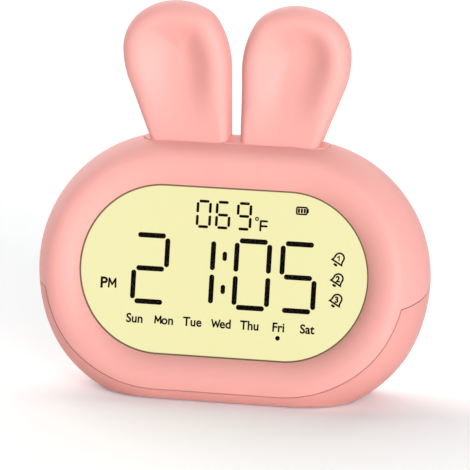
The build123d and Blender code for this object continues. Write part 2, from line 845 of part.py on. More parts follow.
with BuildPart() as right_ear_back:
    add(ear_form.part)
    with Locations((20, cover_y + 0.1, display_height + 60)):
        Box(80, 30, 100, align=(Align.CENTER, Align.MAX, Align.CENTER), mode=Mode.SUBTRACT)
    with BuildSketch(upright(cover_y + 0.1)):
        make_face(ear_line.edges())
        offset(amount=-ear_wall)
        with Locations((20, ear_foot)):
            Rectangle(60, 2 * (cavity_floor - ear_foot), mode=Mode.SUBTRACT)
    extrude(amount=1.3)
write(right_ear_back.part, "right_ear_back")

for whole, mirrored in ((right_ear, "left_ear"), (right_ear_back, "left_ear_back")):
    with BuildPart() as left_piece:
        mirror(whole.part, about=Plane.YZ)
    write(left_piece.part, mirrored)

# ---- Ear bracket, guides, springs, clips and switch ----
guide_places = [(-guide_x, key_row_y), (guide_x, key_row_y)]
with BuildPart() as ear_bracket:
    with BuildSketch(level(bracket_bottom)):
        with Locations((0, key_row_y)):
            SlotOverall(92.0, 11.0)
        with Locations(*guide_places):
            Circle(guide_radius + 0.08, mode=Mode.SUBTRACT)
        with Locations(*bracket_posts):
            Circle(screw_radius + 0.15, mode=Mode.SUBTRACT)
    extrude(amount=bracket_thickness)
write(ear_bracket.part, "ear_bracket")

with BuildPart() as ear_key_clips:
    with BuildSketch(level(bracket_bottom - 0.8)):
        with Locations(*guide_places):
            Circle(3.2)
            Circle(guide_radius, mode=Mode.SUBTRACT)
    extrude(amount=0.7)
write(ear_key_clips.part, "ear_key_clips")

spring_wire = 0.25
spring_coil = 2.75
spring_height = spring_top - bracket_top - 2 * spring_wire - 0.1
with BuildPart() as ear_springs:
    for x, y in guide_places:
        with BuildLine():
            coil = Helix(
                pitch=spring_height / 5,
                height=spring_height,
                radius=spring_coil,
                center=(x, y, display_height + bracket_top + spring_wire + 0.05),
            )
        with BuildSketch(Plane(origin=coil @ 0, z_dir=coil % 0)):
            Circle(spring_wire)
        sweep()
write(ear_springs.part, "ear_springs")

with BuildPart() as ear_switch_board:
    with BuildSketch(level(bracket_top)):
        with Locations((0, key_row_y)):
            RectangleRounded(22.0, 9.0, 1.0)
    extrude(amount=ear_board_top - bracket_top)
write(ear_switch_board.part, "ear_switch_board")

with BuildPart() as ear_switch:
    with BuildSketch(level(ear_board_top)):
        with Locations((0, key_row_y)):
            RectangleRounded(switch_size, switch_size, 0.5)
    extrude(amount=switch_height)
    with BuildSketch(level(ear_board_top + switch_height)):
        with Locations((0, key_row_y)):
            Circle(switch_hole[0])
    extrude(amount=-switch_hole[1] - 0.3, mode=Mode.SUBTRACT)
write(ear_switch.part, "ear_switch")

with BuildPart() as ear_switch_plunger:
    with BuildSketch(level(ear_plunger_tip)):
        with Locations((0, key_row_y)):
            Circle(plunger_radius)
    extrude(amount=-ear_plunger_length)
write(ear_switch_plunger.part, "ear_switch_plunger")

# ---- Screws ----
board_screw_length = 5.0


def screw(seat, shank_radius, length, head, height):
    """Pan-head screw; the seat plane faces away from the head."""
    with BuildPart() as body:
        with BuildSketch(seat):
            Circle(shank_radius)
        extrude(amount=length)
        with BuildSketch(seat):
            Circle(head)
        extrude(amount=-height)
        crown_face = body.faces().sort_by(Axis(seat.origin, -seat.z_dir))[-1]
        fillet(crown_face.edges(), 0.5)
        with BuildSketch(seat.offset(-height)):
            Rectangle(head * 1.2, 0.5)
            Rectangle(0.5, head * 1.2)
        extrude(amount=0.7, mode=Mode.SUBTRACT)
    return body.part


def turned(plane, x, y, towards):
    """Seat plane at a local place of a plane, facing a direction."""
    return Plane(origin=plane.from_local_coords((x, y, 0)), x_dir=(1, 0, 0), z_dir=towards)


board_seats = [turned(at_depth(board_rear), x, v, face.z_dir) for x, v in display_posts]
board_seats += [turned(at_depth(button_board_depth), x, v, -face.z_dir) for x, v in board_post_places]
charge_board_top = shelf_plane.offset(charge_board_thickness)
board_seats += [turned(charge_board_top, x, y, -face.y_dir) for x, y in charge_screws]
board_seats += [turned(level(bracket_bottom), x, y, Vector(0, 0, 1)) for x, y in bracket_posts]

with BuildPart() as board_screws:
    for seat in board_seats:
        add(screw(seat, screw_radius, board_screw_length, head_radius, head_height))
write(board_screws.part, "board_screws")

with BuildPart() as case_screws:
    for x, v in case_posts:
        seat = turned(at_depth(case_seat_depth), x, v, face.z_dir)
        add(screw(seat, case_screw_radius, case_screw_length, case_head_radius, case_head_height))
write(case_screws.part, "case_screws")

# ---- Wires inside the case ----
wire_radius = 0.5


def wires(points, spread):
    """A pair of wires side by side along points given as (across, up the face, depth)."""
    with BuildPart() as pair:
        for dx in (-spread, spread):
            route = [face.from_local_coords((x + dx, v, -depth)) for x, v, depth in points]
            with BuildLine():
                path = FilletPolyline(*route, radius=1.6)
            with BuildSketch(Plane(origin=path @ 0, z_dir=path % 0)):
                Circle(wire_radius)
            sweep()
    return pair.part


plug_depth = board_rear + plug_height
battery_top = battery_centre[1] + battery_size[1] / 2
write(
    wires(
        [
            (battery_socket[0], battery_top, 29.0),
            (battery_socket[0], battery_socket[1], 29.0),
            (battery_socket[0], battery_socket[1], plug_depth),
        ],
        0.8,
    ),
    "battery_leads",
)
write(
    wires(
        [
            (speaker_socket[0], speaker_place[1] + speaker_edge, basket_plate_depth + 0.4),
            (speaker_socket[0], speaker_socket[1] + 1.0, basket_plate_depth + 0.4),
            (speaker_socket[0], speaker_socket[1] + 1.0, 22.0),
            (speaker_socket[0], speaker_socket[1], 20.0),
            (speaker_socket[0], speaker_socket[1], plug_depth),
        ],
        0.8,
    ),
    "speaker_leads",
)
ear_board_edge = face.to_local_coords(Vector(0, key_row_y + 4.5, display_height + bracket_top + 0.6))
ear_turn = face.to_local_coords(Vector(0, key_row_y + 9.5, display_height + bracket_top + 0.6))
write(
    wires(
        [
            (ear_socket[0], ear_board_edge.Y, -ear_board_edge.Z),
            (ear_socket[0], ear_turn.Y, -ear_turn.Z),
            (ear_socket[0], ear_socket[1], 23.0),
            (ear_socket[0], ear_socket[1], plug_depth),
        ],
        0.8,
    ),
    "ear_switch_leads",
)

with BuildPart() as button_ribbon:
    with BuildSketch(at_depth(board_rear + 1.7)):
        with Locations(ribbon_socket):
            Rectangle(10.0, 0.3)
    extrude(amount=board_rear + 1.7 - button_board_depth)
write(button_ribbon.part, "button_ribbon")
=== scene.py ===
# %% [markdown]
# # A rabbit-eared alarm clock, modelled and finished in Blender
#
# The clock is a soft pink plastic body with a fat rounded ring round a lit display, and two ears that are
# pressed down as one big key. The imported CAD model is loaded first, because it says where every part sits.
# Each cell below then adds one form or one finish over it, in metres, in the same frame.

import bmesh
import bpy
import json
from math import asin, atan2, cos, hypot, pi, radians, sin, sqrt
from mathutils import Matrix, Vector


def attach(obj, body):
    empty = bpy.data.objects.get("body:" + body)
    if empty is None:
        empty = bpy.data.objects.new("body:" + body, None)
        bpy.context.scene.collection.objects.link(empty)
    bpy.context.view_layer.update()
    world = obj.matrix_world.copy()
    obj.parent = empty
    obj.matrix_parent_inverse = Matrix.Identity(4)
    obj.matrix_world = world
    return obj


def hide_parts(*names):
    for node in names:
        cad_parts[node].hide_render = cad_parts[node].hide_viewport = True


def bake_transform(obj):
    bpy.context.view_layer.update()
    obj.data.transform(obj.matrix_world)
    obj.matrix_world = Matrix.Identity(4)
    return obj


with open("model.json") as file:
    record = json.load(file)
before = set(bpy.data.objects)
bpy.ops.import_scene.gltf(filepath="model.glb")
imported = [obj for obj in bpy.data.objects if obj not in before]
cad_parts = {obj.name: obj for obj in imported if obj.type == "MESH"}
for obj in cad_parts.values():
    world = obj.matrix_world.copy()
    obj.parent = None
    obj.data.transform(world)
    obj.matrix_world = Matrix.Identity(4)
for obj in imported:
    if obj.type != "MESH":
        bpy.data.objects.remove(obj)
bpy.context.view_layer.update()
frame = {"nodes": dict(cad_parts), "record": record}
nodes = frame["nodes"]

# %% [markdown]
# ## Measures
#
# The clock stands on the floor at z = 0, and its face leans back by 13 degrees. A leaning form is awkward to
# model where it stands. So each one is made on a flat table, with x across, y up the face and z out of it,
# and one matrix then stands it up. The table's origin is the middle of the display.

# %% Measures, in metres
mm = 0.001
lean = radians(13)
display_height, display_front = 45.2 * mm, -15.72 * mm
face_matrix = Matrix.Translation((0, display_front, display_height)) @ Matrix.Rotation(pi / 2 - lean, 4, "X")
print("display centre:", [round(1000 * v, 2) for v in face_matrix.translation])

# %% [markdown]
# ## Selecting
#
# Blender's operators act on whatever is selected, and the loaded CAD nodes are all selected. So every step
# starts from nothing selected, and then picks only its own objects, with the one it shapes as the active one.


# %% Selecting objects
def nothing_selected():
    """Leaves edit mode and deselects every object."""
    if bpy.context.object and bpy.context.object.mode != "OBJECT":
        bpy.ops.object.mode_set(mode="OBJECT")
    bpy.ops.object.select_all(action="DESELECT")


def work_on(piece, *others):
    """Selects some objects, with the first one active."""
    nothing_selected()
    for each in (piece, *others):
        each.select_set(True)
    bpy.context.view_layer.objects.active = piece


nothing_selected()
print("nodes loaded:", len(nodes), "and selected now:", len(bpy.context.selected_objects))

# %% [markdown]
# ## Placing and mending
#
# A form is shaped near the origin. Its place could stay in its object's matrix, but then a pattern in its
# material would slide with it, so the place is baked into the mesh. Extruding and cutting also leave doubled
# points and faces that look inwards, and these are mended each time a form is done.


# %% Placing and mending
def settle(piece, matrix=Matrix.Identity(4)):
    """Bakes the piece's place into its mesh."""
    work_on(piece)
    piece.matrix_world = matrix @ piece.matrix_world
    bpy.ops.object.transform_apply(location=True, rotation=True, scale=True)
    return piece


def tidy_normals(piece, merge=1e-6):
    """Merges doubled vertices and turns all faces outwards."""
    work_on(piece)
    bpy.ops.object.mode_set(mode="EDIT")
    bpy.ops.mesh.select_all(action="SELECT")
    bpy.ops.mesh.remove_doubles(threshold=merge)
    bpy.ops.mesh.normals_make_consistent(inside=False)
    bpy.ops.object.mode_set(mode="OBJECT")
    return piece


# %% [markdown]
# ## Joining and copying
#
# Parts that repeat, such as the bars of a digit, are modelled once and copied. Linked copies would share one
# mesh, which is lighter, but then no copy could have its place baked in. So each copy gets its own mesh.


# %% Joining and copying
def joined(name, pieces):
    """One object out of several."""
    work_on(*pieces)
    if len(pieces) > 1:
        bpy.ops.object.join()
    pieces[0].name = pieces[0].data.name = name
    return pieces[0]


def copied(piece, name, matrix=Matrix.Identity(4)):
    """A copy with its own mesh, moved by a matrix."""
    twin = piece.copy()
    twin.data = piece.data.copy()
    twin.name = twin.data.name = name
    bpy.context.scene.collection.objects.link(twin)
    twin.data.transform(matrix)
    return twin


def triangles(piece):
    """How many triangles a piece has."""
    return sum(len(face.vertices) - 2 for face in piece.data.polygons)


# %% [markdown]
# ## The camera
#
# A short lens nearby would swell the ring and shrink the ears. A long lens from far away, a little to the
# right and above, keeps the clock's forms undistorted. The camera goes in first, because every later step is
# judged through it.


# %% Camera
def direction(azimuth, elevation):
    """The way from the clock to an azimuth and elevation in degrees. Azimuth 0 is in front."""
    a, e = radians(azimuth), radians(elevation)
    return Vector((sin(a) * cos(e), -cos(a) * cos(e), sin(e)))


view_width = 470 / 2.85 * mm  # 470 pixels, with 2.85 of them to a millimetre
camera_lens, sensor = 400, 36
toward_camera = direction(15, 13.3)
turn = toward_camera.to_track_quat("Z", "Y")
view_middle = face_matrix.translation + turn @ Vector((3.82 * mm, 13.4 * mm, 0))
bpy.ops.object.camera_add(location=view_middle + toward_camera * view_width * camera_lens / sensor)
camera = bpy.context.object
camera.name = "camera"
camera.rotation_mode = "QUATERNION"
camera.rotation_quaternion = turn
camera.data.lens, camera.data.sensor_width = camera_lens, sensor
camera.data.clip_start, camera.data.clip_end = 0.05, 20
bpy.context.scene.camera = camera
print("camera distance:", round(view_width * camera_lens / sensor, 3), "m")

# %% [markdown]
# ## Laying rings
#
# The body, the ears and the buttons are forms whose outline changes evenly from ring to ring. A subdivided
# box would be quicker, but it rounds as it likes. So they are laid as a potter does: a filled circle is set
# on the first ring, and its rim is then extruded to each next ring. A whole-number mark on every vertex is
# copied by the extrusion, and says which point of the next ring it goes to.


# %% Lay rings
def lay_rings(name, rings, close=True):
    """A solid from a list of rings, each a list of as many points. Its last ring is filled on request."""
    count = len(rings[0])
    nothing_selected()
    bpy.ops.mesh.primitive_circle_add(vertices=count, radius=0.01, fill_type="NGON")
    piece = bpy.context.object
    piece.name = piece.data.name = name
    mark = piece.data.attributes.new("place", "INT", "POINT")
    for i, item in enumerate(mark.data):
        item.value = i
    bpy.ops.object.mode_set(mode="EDIT")
    bpy.ops.mesh.select_mode(type="VERT")
    for number, ring in enumerate(rings):
        if number:
            bpy.ops.mesh.extrude_edges_move()
        mesh = bmesh.from_edit_mesh(piece.data)
        place = mesh.verts.layers.int["place"]
        for vertex in mesh.verts:
            if vertex.select:
                vertex.co = ring[vertex[place]]
        if not number:
            bpy.ops.mesh.select_mode(type="EDGE")
            bpy.ops.mesh.region_to_loop()
        bmesh.update_edit_mesh(piece.data)
    if close:
        bpy.ops.mesh.edge_face_add()
    bpy.ops.object.mode_set(mode="OBJECT")
    piece.data.attributes.remove(piece.data.attributes["place"])
    return piece


# %% [markdown]
# ## The body's section
#
# From the display the skin runs over the crest of the ring, round a soft side and in to the flat back. Points
# placed by eye would make the highlights wander, so the section is five arcs that meet without a kink. The
# inner wall uses the same middles with smaller arcs.

# %% Section
opening_steps = 14  # of the arc from the opening up to the crest


def arc(centre, radius, start, end, steps):
    """Points of an arc, without its first one."""
    return [
        (centre[0] + radius * cos(a), centre[1] + radius * sin(a))
        for a in [start + (end - start) * i / steps for i in range(1, steps + 1)]
    ]


def corner_radius(across, along, larger):
    """Radius of an arc that meets a larger one and ends level, at a place measured from that one's middle."""
    return (larger**2 - across**2 - along**2) / (2 * larger - 2 * along)


def body_section(inset):
    """Radius and height of the body's skin from the display out to the back, set in by some millimetres."""
    opening, crest, rise, flat, depth = 30, 38, 3.8, 37, 36
    side_x, side_z, side = 28, -12, 20  # middle and radius of the arc round the side
    rear_x, rear_z, rear = 4, -12, 44  # and of the arc that runs in to the back
    ring = ((crest - opening) ** 2 + rise**2) / (2 * rise)
    front_corner = corner_radius(crest - side_x, rise - side_z, side)
    rear_corner = corner_radius(flat - rear_x, depth + rear_z, rear)
    ring_start = pi - asin((ring - rise - inset) / (ring - inset))
    front_turn = atan2(rise - front_corner - side_z, crest - side_x)
    rear_turn = atan2(rear_corner - depth - rear_z, flat - rear_x)
    points = [(crest + (ring - inset) * cos(ring_start), -inset)]
    points += arc((crest, rise - ring), ring - inset, ring_start, pi / 2, opening_steps)
    points += arc((crest, rise - front_corner), front_corner - inset, pi / 2, front_turn, 10)
    points += arc((side_x, side_z), side - inset, front_turn, 0, 10)
    points += arc((rear_x, rear_z), rear - inset, 0, rear_turn, 12)
    points += arc((flat, rear_corner - depth), rear_corner - inset, rear_turn, -pi / 2, 12)
    points.append((flat - 0.8, inset - depth))
    return [(r * mm, z * mm) for r, z in points]


print("section:", len(body_section(0.0)), "points, out to", round(1000 * max(body_section(0.0))[0], 2), "mm")

# %% [markdown]
# ## The body's outline
#
# From the front the body is a stadium: two round ends with a short straight between, a little fuller at its
# lower corners. Near the opening its rings are drawn to the opening's own middle, which keeps the fat ring
# even all round. The same function draws the small stadiums of the buttons.

# %% Rings of the body
half_straight = 22 * mm  # of the lens and all that lies behind it
body_half, body_rise, opening_shift = 22.5 * mm, 0.65 * mm, -0.5 * mm
corner_fullness = 1.15 * mm


def eased(value, start, end):
    """0 before the start and 1 after the end, with a soft change between them."""
    t = min(max((value - start) / (end - start), 0), 1)
    return t * t * (3 - 2 * t)


def stadium_ring(radius, height, half, centre=(0.0, 0.0), steps=64, fuller=0.0):
    """A ring of points round a stadium, which may be fuller at its lower corners."""
    ring = []
    for side in (1, -1):
        for a in [-pi / 2 + pi * i / steps for i in range(steps + 1)]:
            r = radius + fuller * eased(-side * sin(a), 0.1, 0.75)
            x, y = centre[0] + side * (half + r * cos(a)), centre[1] + side * r * sin(a)
            ring.append(Vector((x, y, height)))
    return ring


def body_ring(radius, height, inwards=0.0):
    """A ring of the body, drawn to the opening's own middle as it comes near the opening."""
    centre = (opening_shift * inwards, body_rise * (1 - inwards))
    fuller = corner_fullness * eased(radius, 36 * mm, 44 * mm)  # only outside the fat ring
    return stadium_ring(radius, height, body_half, centre, fuller=fuller)


print("points of a body ring:", len(body_ring(48 * mm, 0)))

# %% [markdown]
# ## The hollow body
#
# The case is moulded with thin walls, and the opening shows them. Solidify could give a wall, but it folds
# over itself where the corners are tight. So an inner form is laid from the same section, turned inside out
# and joined in. The feet lift the base 0.4 mm off the floor.

# %% Hollow body
wall, foot_height = 2.2, 0.4  # mm


def body_form(name, inset, base_bevel=0.0):
    """The closed form of the body, set in by some millimetres, standing and cut flat at its base."""
    section = enumerate(body_section(inset))
    rings = [body_ring(r, z, max(1 - i / opening_steps, 0)) for i, (r, z) in section]
    form = settle(lay_rings(name, rings), face_matrix)
    base = (foot_height + max(inset, 0)) * mm
    bpy.ops.object.mode_set(mode="EDIT")
    bpy.ops.mesh.select_all(action="SELECT")
    bpy.ops.mesh.bisect(plane_co=(0, 0, base), plane_no=(0, 0, 1), use_fill=True, clear_inner=True)
    if base_bevel:
        bpy.ops.mesh.select_mode(type="EDGE")
        bpy.ops.mesh.region_to_loop()
        bpy.ops.mesh.bevel(offset=base_bevel, segments=4, affect="EDGES", clamp_overlap=False)
    bpy.ops.object.mode_set(mode="OBJECT")
    return tidy_normals(form)


def hollow_body(name, inset, base_bevel=0.0):
    """The body's form with its inner wall: the inner form is turned inside out and joined in."""
    outer = body_form(name, inset, base_bevel)
    inner = body_form(name + "_inner", inset + wall)
    work_on(inner)
    bpy.ops.object.mode_set(mode="EDIT")
    bpy.ops.mesh.select_all(action="SELECT")
    bpy.ops.mesh.flip_normals()
    bpy.ops.object.mode_set(mode="OBJECT")
    return joined(name, [outer, inner])


skin = hollow_body("skin", 0.0, 1.0 * mm)
print("body skin:", triangles(skin), "triangles,", [round(1000 * d, 1) for d in skin.dimensions])

# %% [markdown]
# ## Cutting
#
# Openings and seams could be bridged by hand, loop by loop. A Boolean with a plain block is surer where a
# hole meets a rounded wall, and the exact solver leaves no stray faces. The block is used up.


# %% Cutting
def cut(piece, cutter, operation="DIFFERENCE"):
    """Boolean with another solid, which is then thrown away."""
    work_on(piece)
    modifier = piece.modifiers.new("cut", "BOOLEAN")
    modifier.object, modifier.operation, modifier.solver = cutter, operation, "EXACT"
    bpy.ops.object.modifier_apply(modifier=modifier.name)
    bpy.data.objects.remove(cutter)
    return piece


# %% [markdown]
# ## Blocks to cut with
#
# The display's opening, the key's oval, the buttons' holes and the ink bars are all slots. A box with
# bevelled edges could make one, but its ends would only be as round as the bevel. So a slot block is a filled
# circle whose two halves are moved apart and which is then extruded. Not moved apart, it makes round holes.


# %% Slot blocks
def pick_points(piece, test):
    """In edit mode, selects the vertices whose place passes a test."""
    bpy.ops.mesh.select_mode(type="VERT")
    bpy.ops.mesh.select_all(action="DESELECT")
    mesh = bmesh.from_edit_mesh(piece.data)
    for vertex in mesh.verts:
        vertex.select = test(vertex.co)
    mesh.select_flush_mode()
    bmesh.update_edit_mesh(piece.data)


def slot_block(name, half, radius, low, high, place=Matrix.Identity(4), steps=24):
    """A stadium-shaped block from one height to another, at a place."""
    nothing_selected()
    bpy.ops.mesh.primitive_circle_add(vertices=2 * steps, radius=radius, fill_type="NGON")
    block = bpy.context.object
    block.name = block.data.name = name
    half_step = pi / (2 * steps)  # turned by half a step, the circle has no corner on x = 0
    bpy.ops.object.mode_set(mode="EDIT")
    bpy.ops.transform.rotate(value=half_step, orient_axis="Z", center_override=(0, 0, 0))
    for side in (1, -1):
        pick_points(block, lambda co: co.x * side > 0)
        bpy.ops.transform.translate(value=(side * half, 0, 0))
    bpy.ops.mesh.select_mode(type="FACE")
    bpy.ops.mesh.select_all(action="SELECT")
    bpy.ops.transform.translate(value=(0, 0, low))
    bpy.ops.mesh.extrude_region_move(TRANSFORM_OT_translate={"value": (0, 0, high - low)})
    bpy.ops.object.mode_set(mode="OBJECT")
    tidy_normals(block)
    return settle(block, place)


def on_face(x, v, depth=0.0):
    """Place on the leaning face, in millimetres: across, up the face, and behind the display."""
    return face_matrix @ Matrix.Translation((x * mm, v * mm, -depth * mm))


# %% [markdown]
# ## Parting the body into its two shells
#
# The front shell carries the ring and the crown. The rear shell is a tub whose edge shows as a fine seam. Low
# on the front the seam lies just outside the ring, at the sides it kinks and runs back and up, and then it
# goes over the back of the crown. Two shells modelled apart would never match, so one block with the seam's
# outline parts the body. It takes the rear shell's share out of the front, where it is 0.42 mm larger, and
# leaves only that share for the rear. The difference is the seam.

# %% Parting block
seam_kink, seam_front, seam_rear = -9 * mm, 1 * mm, -24 * mm
seam_slope, seam_tilt, seam_gap = radians(24), 0.037, 0.42 * mm
ring_outline = 40 * mm  # radius inside which all belongs to the front shell


def parting_block(gap):
    """All that belongs to the rear shell, grown by a gap."""
    rise, run, far = sin(seam_slope), cos(seam_slope), 90 * mm
    front, rear = seam_front + gap * 0.7, seam_rear + gap  # in front the seam is a little finer
    kink = seam_kink + gap * (1 - rise) / run
    rear_kink = kink + (front - rear) * (rise / run)
    foot = front + seam_tilt * (far + kink)  # below the kink the seam comes forward a little
    corners = [(-far, foot), (kink, front), (rear_kink, rear), (far, rear), (far, -far), (-far, -far)]
    nothing_selected()
    bpy.ops.mesh.primitive_circle_add(vertices=len(corners), radius=far, fill_type="NGON")
    block = bpy.context.object
    for vertex, (y, z) in zip(block.data.vertices, corners):
        vertex.co = (-far, y, z)
    bpy.ops.object.mode_set(mode="EDIT")
    bpy.ops.mesh.select_all(action="SELECT")
    bpy.ops.mesh.extrude_region_move(TRANSFORM_OT_translate={"value": (2 * far, 0, 0)})
    bpy.ops.object.mode_set(mode="OBJECT")
    tidy_normals(block)
    settle(block, face_matrix)
    return cut(block, slot_block("ring_keep", half_straight, ring_outline, -4 * mm, 8 * mm, face_matrix, 64))


rear_shell = cut(copied(skin, "rear_tub"), parting_block(0.0), "INTERSECT")
front_shell = cut(copied(skin, "front_ring"), parting_block(seam_gap))
bpy.data.objects.remove(skin)
print("front:", triangles(front_shell), "rear:", triangles(rear_shell))

# %% [markdown]
# ## The channel in the tub's edge
#
# In front the two shells overlap, so the gap alone would show lit pink instead of a dark line. Such cases
# have a lap joint there. A narrow channel along the tub's edge, 1.2 mm deep, looks the same: two walls are
# laid along the edge, the inner one is cut out of the outer one, and the thin band that is left cuts the tub.


# %% Channel
def skin_radius(height):
    """The section's radius in front of its widest place, at a height above the display."""
    rows = body_section(0.0)[opening_steps + 1 :]
    (r0, z0), (r1, z1) = next(pair for pair in zip(rows, rows[1:]) if pair[1][1] <= height)
    return r0 + (r1 - r0) * (height - z0) / (z1 - z0)


def channel_ring(width, depth):
    """A ring along the tub's edge, some way in from the skin and below the edge."""
    ring = []
    for i, point in enumerate(body_ring(skin_radius(seam_front), 0)):
        edge = seam_front + seam_tilt * max(seam_kink - point.y, 0)
        ring.append(body_ring(skin_radius(edge) - width, edge - depth)[i])
    return ring


def channel_wall(name, width, low, high):
    """A solid out to some way in from the skin, from one depth below the edge to another, in millimetres."""
    rings = [channel_ring(width * mm, depth * mm) for depth in (low, high)]
    return tidy_normals(settle(lay_rings(name, rings), face_matrix))


cut(rear_shell, cut(channel_wall("lap", -0.02, 1.2, -0.1), channel_wall("lap_inside", 0.13, 2.0, -1.0)))
print("rear with its channel:", triangles(rear_shell))

# %% [markdown]
# ## Openings in the front shell
#
# The display shows through a stadium opening with a small step behind it for the lens, and the ear key comes
# up through an oval in the crown with 0.2 mm of play. The rings could leave such openings free from the
# start, but a whole form is easier to lay, so all three are cut afterwards with slot blocks.

# %% Cut the front shell
opening_radius, lens_radius = 30.03 * mm, 32.15 * mm
opening_place = face_matrix @ Matrix.Translation((opening_shift, 0, 0))
key_place = Matrix.Translation((0, 1.98 * mm, 0))
key_half, key_radius, key_play = (67.4 - 12.6) / 2 * mm, 6.3 * mm, 0.2 * mm  # an oval of 67.4 by 12.6
crown_top = 103 * mm  # a height that is surely above the crown


def smooth(piece, angle):
    """Smooth shading, but for edges sharper than an angle in degrees."""
    work_on(piece)
    bpy.ops.object.shade_smooth_by_angle(angle=radians(angle))
    return piece


for block in (
    slot_block("opening", body_half, opening_radius, -1.2 * mm, 6 * mm, opening_place, 64),
    slot_block("lens_seat", half_straight, lens_radius, -3.5 * mm, -0.5 * mm, face_matrix, 64),
    slot_block("key_hole", key_half, key_radius + key_play, 82 * mm, crown_top, key_place, 48),
):
    cut(front_shell, block)
smooth(tidy_normals(front_shell), 28)
print("front ring:", triangles(front_shell), "triangles")

# %% [markdown]
# ## Openings in the back
#
# The back has a row of five buttons, a charging socket, a round grille of small holes for the speaker, four
# deep bores for the screws, and four shallow rounds under the base for the feet. The grille's hole is made
# once and copied round its rings. One cut with all the blocks joined is much quicker than a cut for each.

# %% Cut the rear shell
button_pitch, button_row = 16, 12  # mm
through_back = (-37 * mm, -32 * mm)
back_cuts = [
    slot_block("button_hole", 1.5 * mm, 3.2 * mm, *through_back, on_face(button_pitch * (i - 2), button_row))
    for i in range(5)
]
back_cuts.append(slot_block("socket_hole", 2.85 * mm, 1.95 * mm, *through_back, on_face(40, -18.8)))
hole = slot_block("grille_hole", 0, 0.9 * mm, *through_back, steps=8)
for radius, count in [(0, 1), (3.6, 6), (7.2, 12), (10.8, 18)]:  # radius of each ring, and its holes
    for i in range(count):
        a = 2 * pi * i / count
        place = on_face(-38 + radius * cos(a), -14 + radius * sin(a))
        back_cuts.append(copied(hole, "grille_hole", place))
bpy.data.objects.remove(hole)
for x in (-58.2, 58.2):
    for v in (-7.6, 7.6):
        back_cuts.append(slot_block("screw_bore", 0, 2.4 * mm, -47 * mm, -17 * mm, on_face(x, v), 16))
for x in (-32, 32):
    for y in (-14.5, 4.0):
        place = Matrix.Translation((x * mm, y * mm, 0))
        back_cuts.append(slot_block("foot_recess", 0, 4.6 * mm, 0.1 * mm, 1.2 * mm, place, 24))
print("blocks for the back:", len(back_cuts))
cut(rear_shell, joined("back_cuts", back_cuts))
smooth(tidy_normals(rear_shell), 28)
print("rear tub:", triangles(rear_shell), "triangles")

# %% [markdown]
# ## The ear key
#
# The oval under the ears is the top of the key. It follows the crown and stands 0.2 mm proud of it. Bent out
# of a flat plate it would never fit the crown's curve, so it is cut out of the same body form, made 0.2 mm
# larger. Its edge stays sharp, because it lies in a narrow gap where no finger catches on it.

# %% Key plate
key_plate = hollow_body("key_plate", -0.2)
cut(key_plate, slot_block("key_oval", key_half, key_radius, 70 * mm, crown_top, key_place, 48), "INTERSECT")
print("key plate:", triangles(key_plate), "triangles")

# %% [markdown]
# ## The ears' outline
#
# Each ear is a tapered paddle with a round top. A curve with handles could draw it, but a chain of arcs also
# gives the outward direction at every point, and the rings of the next cells are set in along it.

# %% Ear outline
ear_foot, ear_inner, ear_shoulder = 37.0, 2.3, 69.4  # mm; heights are from the display centre
ear_arcs = ((32.5, 31.3), (10.8, 31.4), (23.1, 55.0), (16.35, 62.3), (32.0, 22.8))  # radius, turn in degrees
slim = 0.988  # the visible form is a little narrower than its outline in the CAD


def ear_outline(step=1.0):
    """Points and outward directions round the right ear, evenly spaced along the arcs, in millimetres."""
    points = []

    def line_to(x, z, outward):
        """Adds evenly spaced points up to a corner."""
        x0, z0 = points[-1][0] if points else (ear_inner, ear_foot)
        count = max(1, round(hypot(x - x0, z - z0) / step))
        for i in range(1, count + 1):
            points.append(((x0 + (x - x0) * i / count, z0 + (z - z0) * i / count), outward))

    line_to(ear_inner, ear_shoulder, pi)
    heading = pi / 2  # of travel; outward is to its left
    for radius, turn_angle in ear_arcs:
        (x, z), _ = points[-1]
        centre = (x + radius * sin(heading), z - radius * cos(heading))
        count = max(2, round(radius * radians(turn_angle) / step))
        for i in range(1, count + 1):
            now = heading - radians(turn_angle) * i / count
            points.append(((centre[0] - radius * sin(now), centre[1] + radius * cos(now)), now + pi / 2))
        heading -= radians(turn_angle)
    (x, z), _ = points[-1]
    run = (z - ear_foot) / -sin(heading)
    line_to(x + run * cos(heading), ear_foot, heading + pi / 2)
    line_to(ear_inner, ear_foot, -pi / 2)
    return points


outline = [((ear_inner + (x - ear_inner) * slim, z), o) for (x, z), o in ear_outline()]
print("ear outline:", len(outline), "points, top at", round(max(p[1] for p, _ in outline), 2))

# %% [markdown]
# ## The ears' form
#
# The front of each ear is softly scooped, like a spoon. Sculpting would do it, but not twice alike, so the
# ear is laid in rings like the body. Rings set in from the outline turn the edge round the back and the
# front. Inside the edge they close in on the ear's middle line, and sink into a scoop that leaves the rim
# level and grows deeper towards the top.

# %% Ear's measures and points
ear_face, ear_back = -4.22, 7.78  # mm, as are all that follow
back_edge, edge_steps = 4.6, 10
scoop_depth, scoop_rows = 4.9, 24


def front_edge(z):
    """Radius of the front edge at a height: small at the foot, large round the top."""
    return 2.6 + 2.0 * eased(z, 44, 64)


def ear_middle(x, z):
    """The nearest of a row of evenly spaced points on the ear's middle line, which both its sides share."""
    low, high, steps = Vector((14.3, 41.0)), Vector((20.1, 74.5)), 16
    t = (Vector((x, z)) - low).dot(high - low) / (high - low).length_squared
    return low + (high - low) * round(min(max(t, 0), 1) * steps) / steps


def ear_place(x, y, z):
    """A place of the standing ear in metres, from millimetres with heights from the display centre."""
    return Vector((x * mm, y * mm, z * mm + display_height))


def ear_ring(inset, y):
    """A ring set in from the outline. Both its inset and its y are worked out from the height."""
    return [ear_place(x - inset(z) * cos(o), y(z), z - inset(z) * sin(o)) for (x, z), o in outline]


print("front edge's radius at the foot and at the top:", front_edge(ear_foot), "and", front_edge(90))

